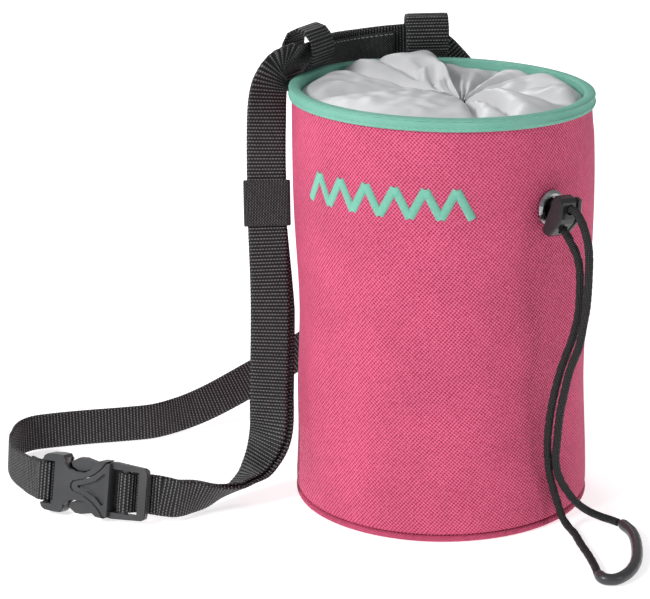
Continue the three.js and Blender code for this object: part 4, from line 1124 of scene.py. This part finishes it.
keeper_top = keeper_at * bag_height + keeper_length / 2
first, top_spot, top_edge, top_face = at_height(keeper_top + tail_over)
tail_frames = [(top_spot, top_edge, top_face)] + [(row[0], row[2], row[3]) for row in strap_line[first:]]
tail_rows = []
for i, (spot, edge, face) in enumerate(tail_frames[:-3]):
    away = 1 - i / (len(tail_frames) - 1)
    spread = min(1, 3.5 * away) * min(1, max(0, 5 * (0.87 - away)))
    tail_rows.append((spot + face * (doubled + 0.4 * mm * spread) - edge * (tail_shift * spread), edge))
tail_rows.reverse()
belt_rows = [
    *smooth_rows([*socket_start, *belt_back, *rim_pass, *strap_rows, *prong_turn[:3]], 1.5 * mm)[:-1],
    *smooth_rows(prong_turn[2:], 0.8 * mm),
    *tail_rows,
]
belt_finish = webbing_finish("belt_webbing", rib_pitch, 0.5)
belt = ribbed_band("waist_belt", belt_rows, webbing_width, webbing_thickness, rib_pitch, 0.16 * mm)
belt.data.materials.append(belt_finish)
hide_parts("belt_webbing")
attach(belt, "bag")


# Brush sleeve: a flat strip of dense black elastic laid against the belt's inner face between the
# loops, hemmed along its upper edge with a row of pale stitches.
sleeve_thickness = 0.9 * mm
sleeve_height = 13.7 * mm
sleeve_off = webbing_thickness / 2 + 1.8 * seam_gap + sleeve_thickness / 2
sleeve_sink = 2.3 * mm + (sleeve_height - webbing_width) / 2
sleeve_line = framed(smooth_rows(rim_pass[3:6], 2 * mm))
sleeve_rows = [(spot - face * sleeve_off - edge * sleeve_sink, edge) for spot, _, edge, face in sleeve_line]
elastic_finish = webbing_finish("black_elastic", 0.55 * mm, 0.72)
sleeve = ribbed_band(
    "brush_elastic", sleeve_rows, sleeve_height, sleeve_thickness, 0.9 * mm, 0.03 * mm, columns=18, per_rib=3
)
sleeve.data.materials.append(elastic_finish)
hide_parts("brush_sleeve")
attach(sleeve, "bag")


hem_stitches = []
hem_frames = framed(even_rows(sleeve_rows, 0.7 * mm))
for i in range(1, len(hem_frames) - 3, 3):
    ends = [
        spot - face * (sleeve_thickness / 2 + 0.02 * mm) + edge * (sleeve_height / 2 - 1.3 * mm)
        for spot, _, edge, face in (hem_frames[i], hem_frames[i + 2])
    ]
    hem_stitches.append((ends[0], ends[1], -hem_frames[i + 1][3]))
hem_thread = thread_run("sleeve_hem", hem_stitches, 0.4 * mm, 0.18 * mm, (0.3, 0.3, 0.31))


# Keeper: a ring of 17 mm elastic sewn round both layers of the strap, with fine ribs along the run
# and a sewn overlap at its left edge.
keeper_wall = 0.6 * mm
keeper_inside = doubled + webbing_thickness + 2 * seam_gap
keeper_clear = webbing_width / 2 + seam_gap


def keeper_section(height):
    _, spot, edge, face = at_height(height)
    return spot + face * (doubled / 2), edge, face


def rounded_band(grow, corner, per_corner=6):
    """A rounded oblong round the strap: across, front and the way out."""
    half_width = keeper_clear + grow
    half_depth = keeper_inside / 2 + grow
    outline = []
    for cx, cy, start in ((1, 1, 0), (-1, 1, 90), (-1, -1, 180), (1, -1, 270)):
        for k in range(per_corner + 1):
            turn = math.radians(start + 90 * k / per_corner)
            outline.append((
                cx * (half_width - corner) + corner * math.cos(turn),
                cy * (half_depth - corner) + corner * math.sin(turn),
            ))
    return outline


def keeper_ring(level, grow, corner):
    spot, edge, face = keeper_section(keeper_top - keeper_length * level)
    return [spot + edge * x + face * y for x, y in densified(rounded_band(grow, corner))]


def densified(outline, step=0.9 * mm):
    dense = []
    for a, b in zip(outline, outline[1:] + outline[:1]):
        parts = max(1, round(math.dist(a, b) / step))
        for k in range(parts):
            dense.append((a[0] + (b[0] - a[0]) * k / parts, a[1] + (b[1] - a[1]) * k / parts))
    return dense


keeper_levels = 44
keeper_sections = []
for k in range(keeper_levels + 1):
    swell_out = 0.05 * mm * math.cos(math.tau * k / 2.6)
    lip = -0.25 * mm if k in (0, keeper_levels) else 0
    keeper_sections.append(keeper_ring(k / keeper_levels, keeper_wall + lip + swell_out, 1.0 * mm))
for k in range(keeper_levels, -1, -4):
    keeper_sections.append(keeper_ring(k / keeper_levels, 0, 0.9 * mm))


def same_count(section, count):
    lengths = [0.0]
    loop = section + section[:1]
    for a, b in zip(loop, loop[1:]):
        lengths.append(lengths[-1] + (b - a).length)
    even = []
    j = 0
    for i in range(count):
        want = lengths[-1] * i / count
        while lengths[j + 1] < want:
            j += 1
        even.append(loop[j].lerp(loop[j + 1], (want - lengths[j]) / (lengths[j + 1] - lengths[j])))
    return even


keeper_sections = [same_count(section, 56) for section in keeper_sections]
keeper_sections.append(keeper_sections[0])
keeper = swept(
    "keeper_band", keeper_sections, lambda i, j: (j * 0.72, i * keeper_length / keeper_levels / mm), caps=False
)
keeper.data.materials.append(elastic_finish)
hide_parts("keeper")
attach(keeper, "bag")


keeper_stitches = []
for k in range(9):
    ends = []
    for level in (k + 0.15, k + 0.8):
        spot, edge, face = keeper_section(keeper_top - keeper_length * level / 9)
        front = keeper_inside / 2 + keeper_wall + 0.04 * mm
        ends.append(spot + edge * (keeper_clear - 2.2 * mm) - face * front)
    keeper_face = keeper_section(keeper_top - keeper_length * k / 9)[2]
    keeper_stitches.append((ends[0], ends[1], -keeper_face))
keeper_thread = thread_run("keeper_seam", keeper_stitches, 0.45 * mm, 0.22 * mm, (0.03, 0.03, 0.032))


# Side-release buckle: two mouldings of dark gray acetal with a fine satin grain and softened edges.
def moulded_finish(name, colour, roughness):
    finish = Finish(name, colour, roughness)
    grain = finish.noise(1600.0, 2.0, finish.place())
    cloud = finish.noise(80.0, 3.0, finish.place())
    stops = [(0.3, [c * 0.85 for c in colour]), (0.7, [c * 1.15 for c in colour])]
    finish.colour(finish.ramp(cloud, stops))
    finish.roughness(finish.sum("MULTIPLY_ADD", cloud, 0.18, roughness - 0.08))
    finish.bump(grain, 0.12, 0.0001)
    return finish.material


buckle_finish = moulded_finish("buckle_acetal", (0.05, 0.051, 0.053), 0.3)


def dress_node(node, finish, soften):
    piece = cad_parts[node]
    piece.data.materials.clear()
    piece.data.materials.append(finish)
    bevel = piece.modifiers.new("softened_edges", "BEVEL")
    bevel.width = soften
    bevel.segments = 3
    bevel.limit_method = "ANGLE"
    bevel.angle_limit = math.radians(32)
    bevel.harden_normals = False


dress_node("buckle_socket", buckle_finish, 0.35 * mm)
dress_node("buckle_prongs", buckle_finish, 0.3 * mm)


# Eyelet: nickel-plated brass, rolled round over the cloth, with its bore dark inside.
def nickel_finish():
    finish = Finish("nickel_plate", (0.4, 0.4, 0.41), 0.2, Metallic=1.0)
    cloud = finish.noise(220.0, 3.0, finish.place())
    finish.roughness(finish.sum("MULTIPLY_ADD", cloud, 0.2, 0.14))
    finish.bump(cloud, 0.1, 0.0001)
    return finish.material


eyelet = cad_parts["eyelet"]
eyelet.data.materials.clear()
eyelet.data.materials.append(nickel_finish())


# Cord lock: a body with two cord holes and a spring plunger that grips both strands.
lock_finish = moulded_finish("lock_acetal", (0.018, 0.018, 0.019), 0.26)
dress_node("lock_body", lock_finish, 0.4 * mm)
dress_node("lock_plunger", lock_finish, 0.3 * mm)


# The floor is a pale matt sheet. A large soft light stands high at the left, and a weaker one fills
# from the right, under an even pale sky.
floor_half = 4.0
floor_corners = [(x * floor_half, y * floor_half, 0) for x, y in ((-1, -1), (1, -1), (1, 1), (-1, 1))]
floor = mesh_piece("studio_floor", floor_corners, [(0, 1, 2, 3)])
floor.location.z = -0.0002
floor_paper = Finish(
    "floor_paper", (0.75, 0.75, 0.75), 0.95, Specular_IOR_Level=0.0,
    Emission_Color=(1.0, 1.0, 1.0, 1.0), Emission_Strength=0.66,
)
floor.data.materials.append(floor_paper.material)


def soft_light(name, spot, target, size, power):
    light = bpy.data.lights.new(name, "AREA")
    light.shape = "DISK"
    light.size = size
    light.energy = power
    lamp = bpy.data.objects.new(name, light)
    lamp.location = spot
    lamp.rotation_euler = (Vector(target) - Vector(spot)).to_track_quat("-Z", "Y").to_euler()
    bpy.context.collection.objects.link(lamp)


soft_light("left_softbox", (-1.2, -0.9, 1.0), (0, 0, 0.08), 0.5, 21)
soft_light("right_fill", (1.3, -0.7, 0.7), (0, 0, 0.08), 0.5, 3.0)
soft_light("back_light", (-0.4, 1.2, 0.9), (0, 0, 0.1), 0.6, 7)
world = bpy.data.worlds.new("pale_sky")
world.use_nodes = True
world.node_tree.nodes["Background"].inputs["Color"].default_value = (0.98, 0.99, 1.0, 1)
world.node_tree.nodes["Background"].inputs["Strength"].default_value = 0.32
bpy.context.scene.world = world
bpy.context.scene.view_settings.view_transform = "Standard"
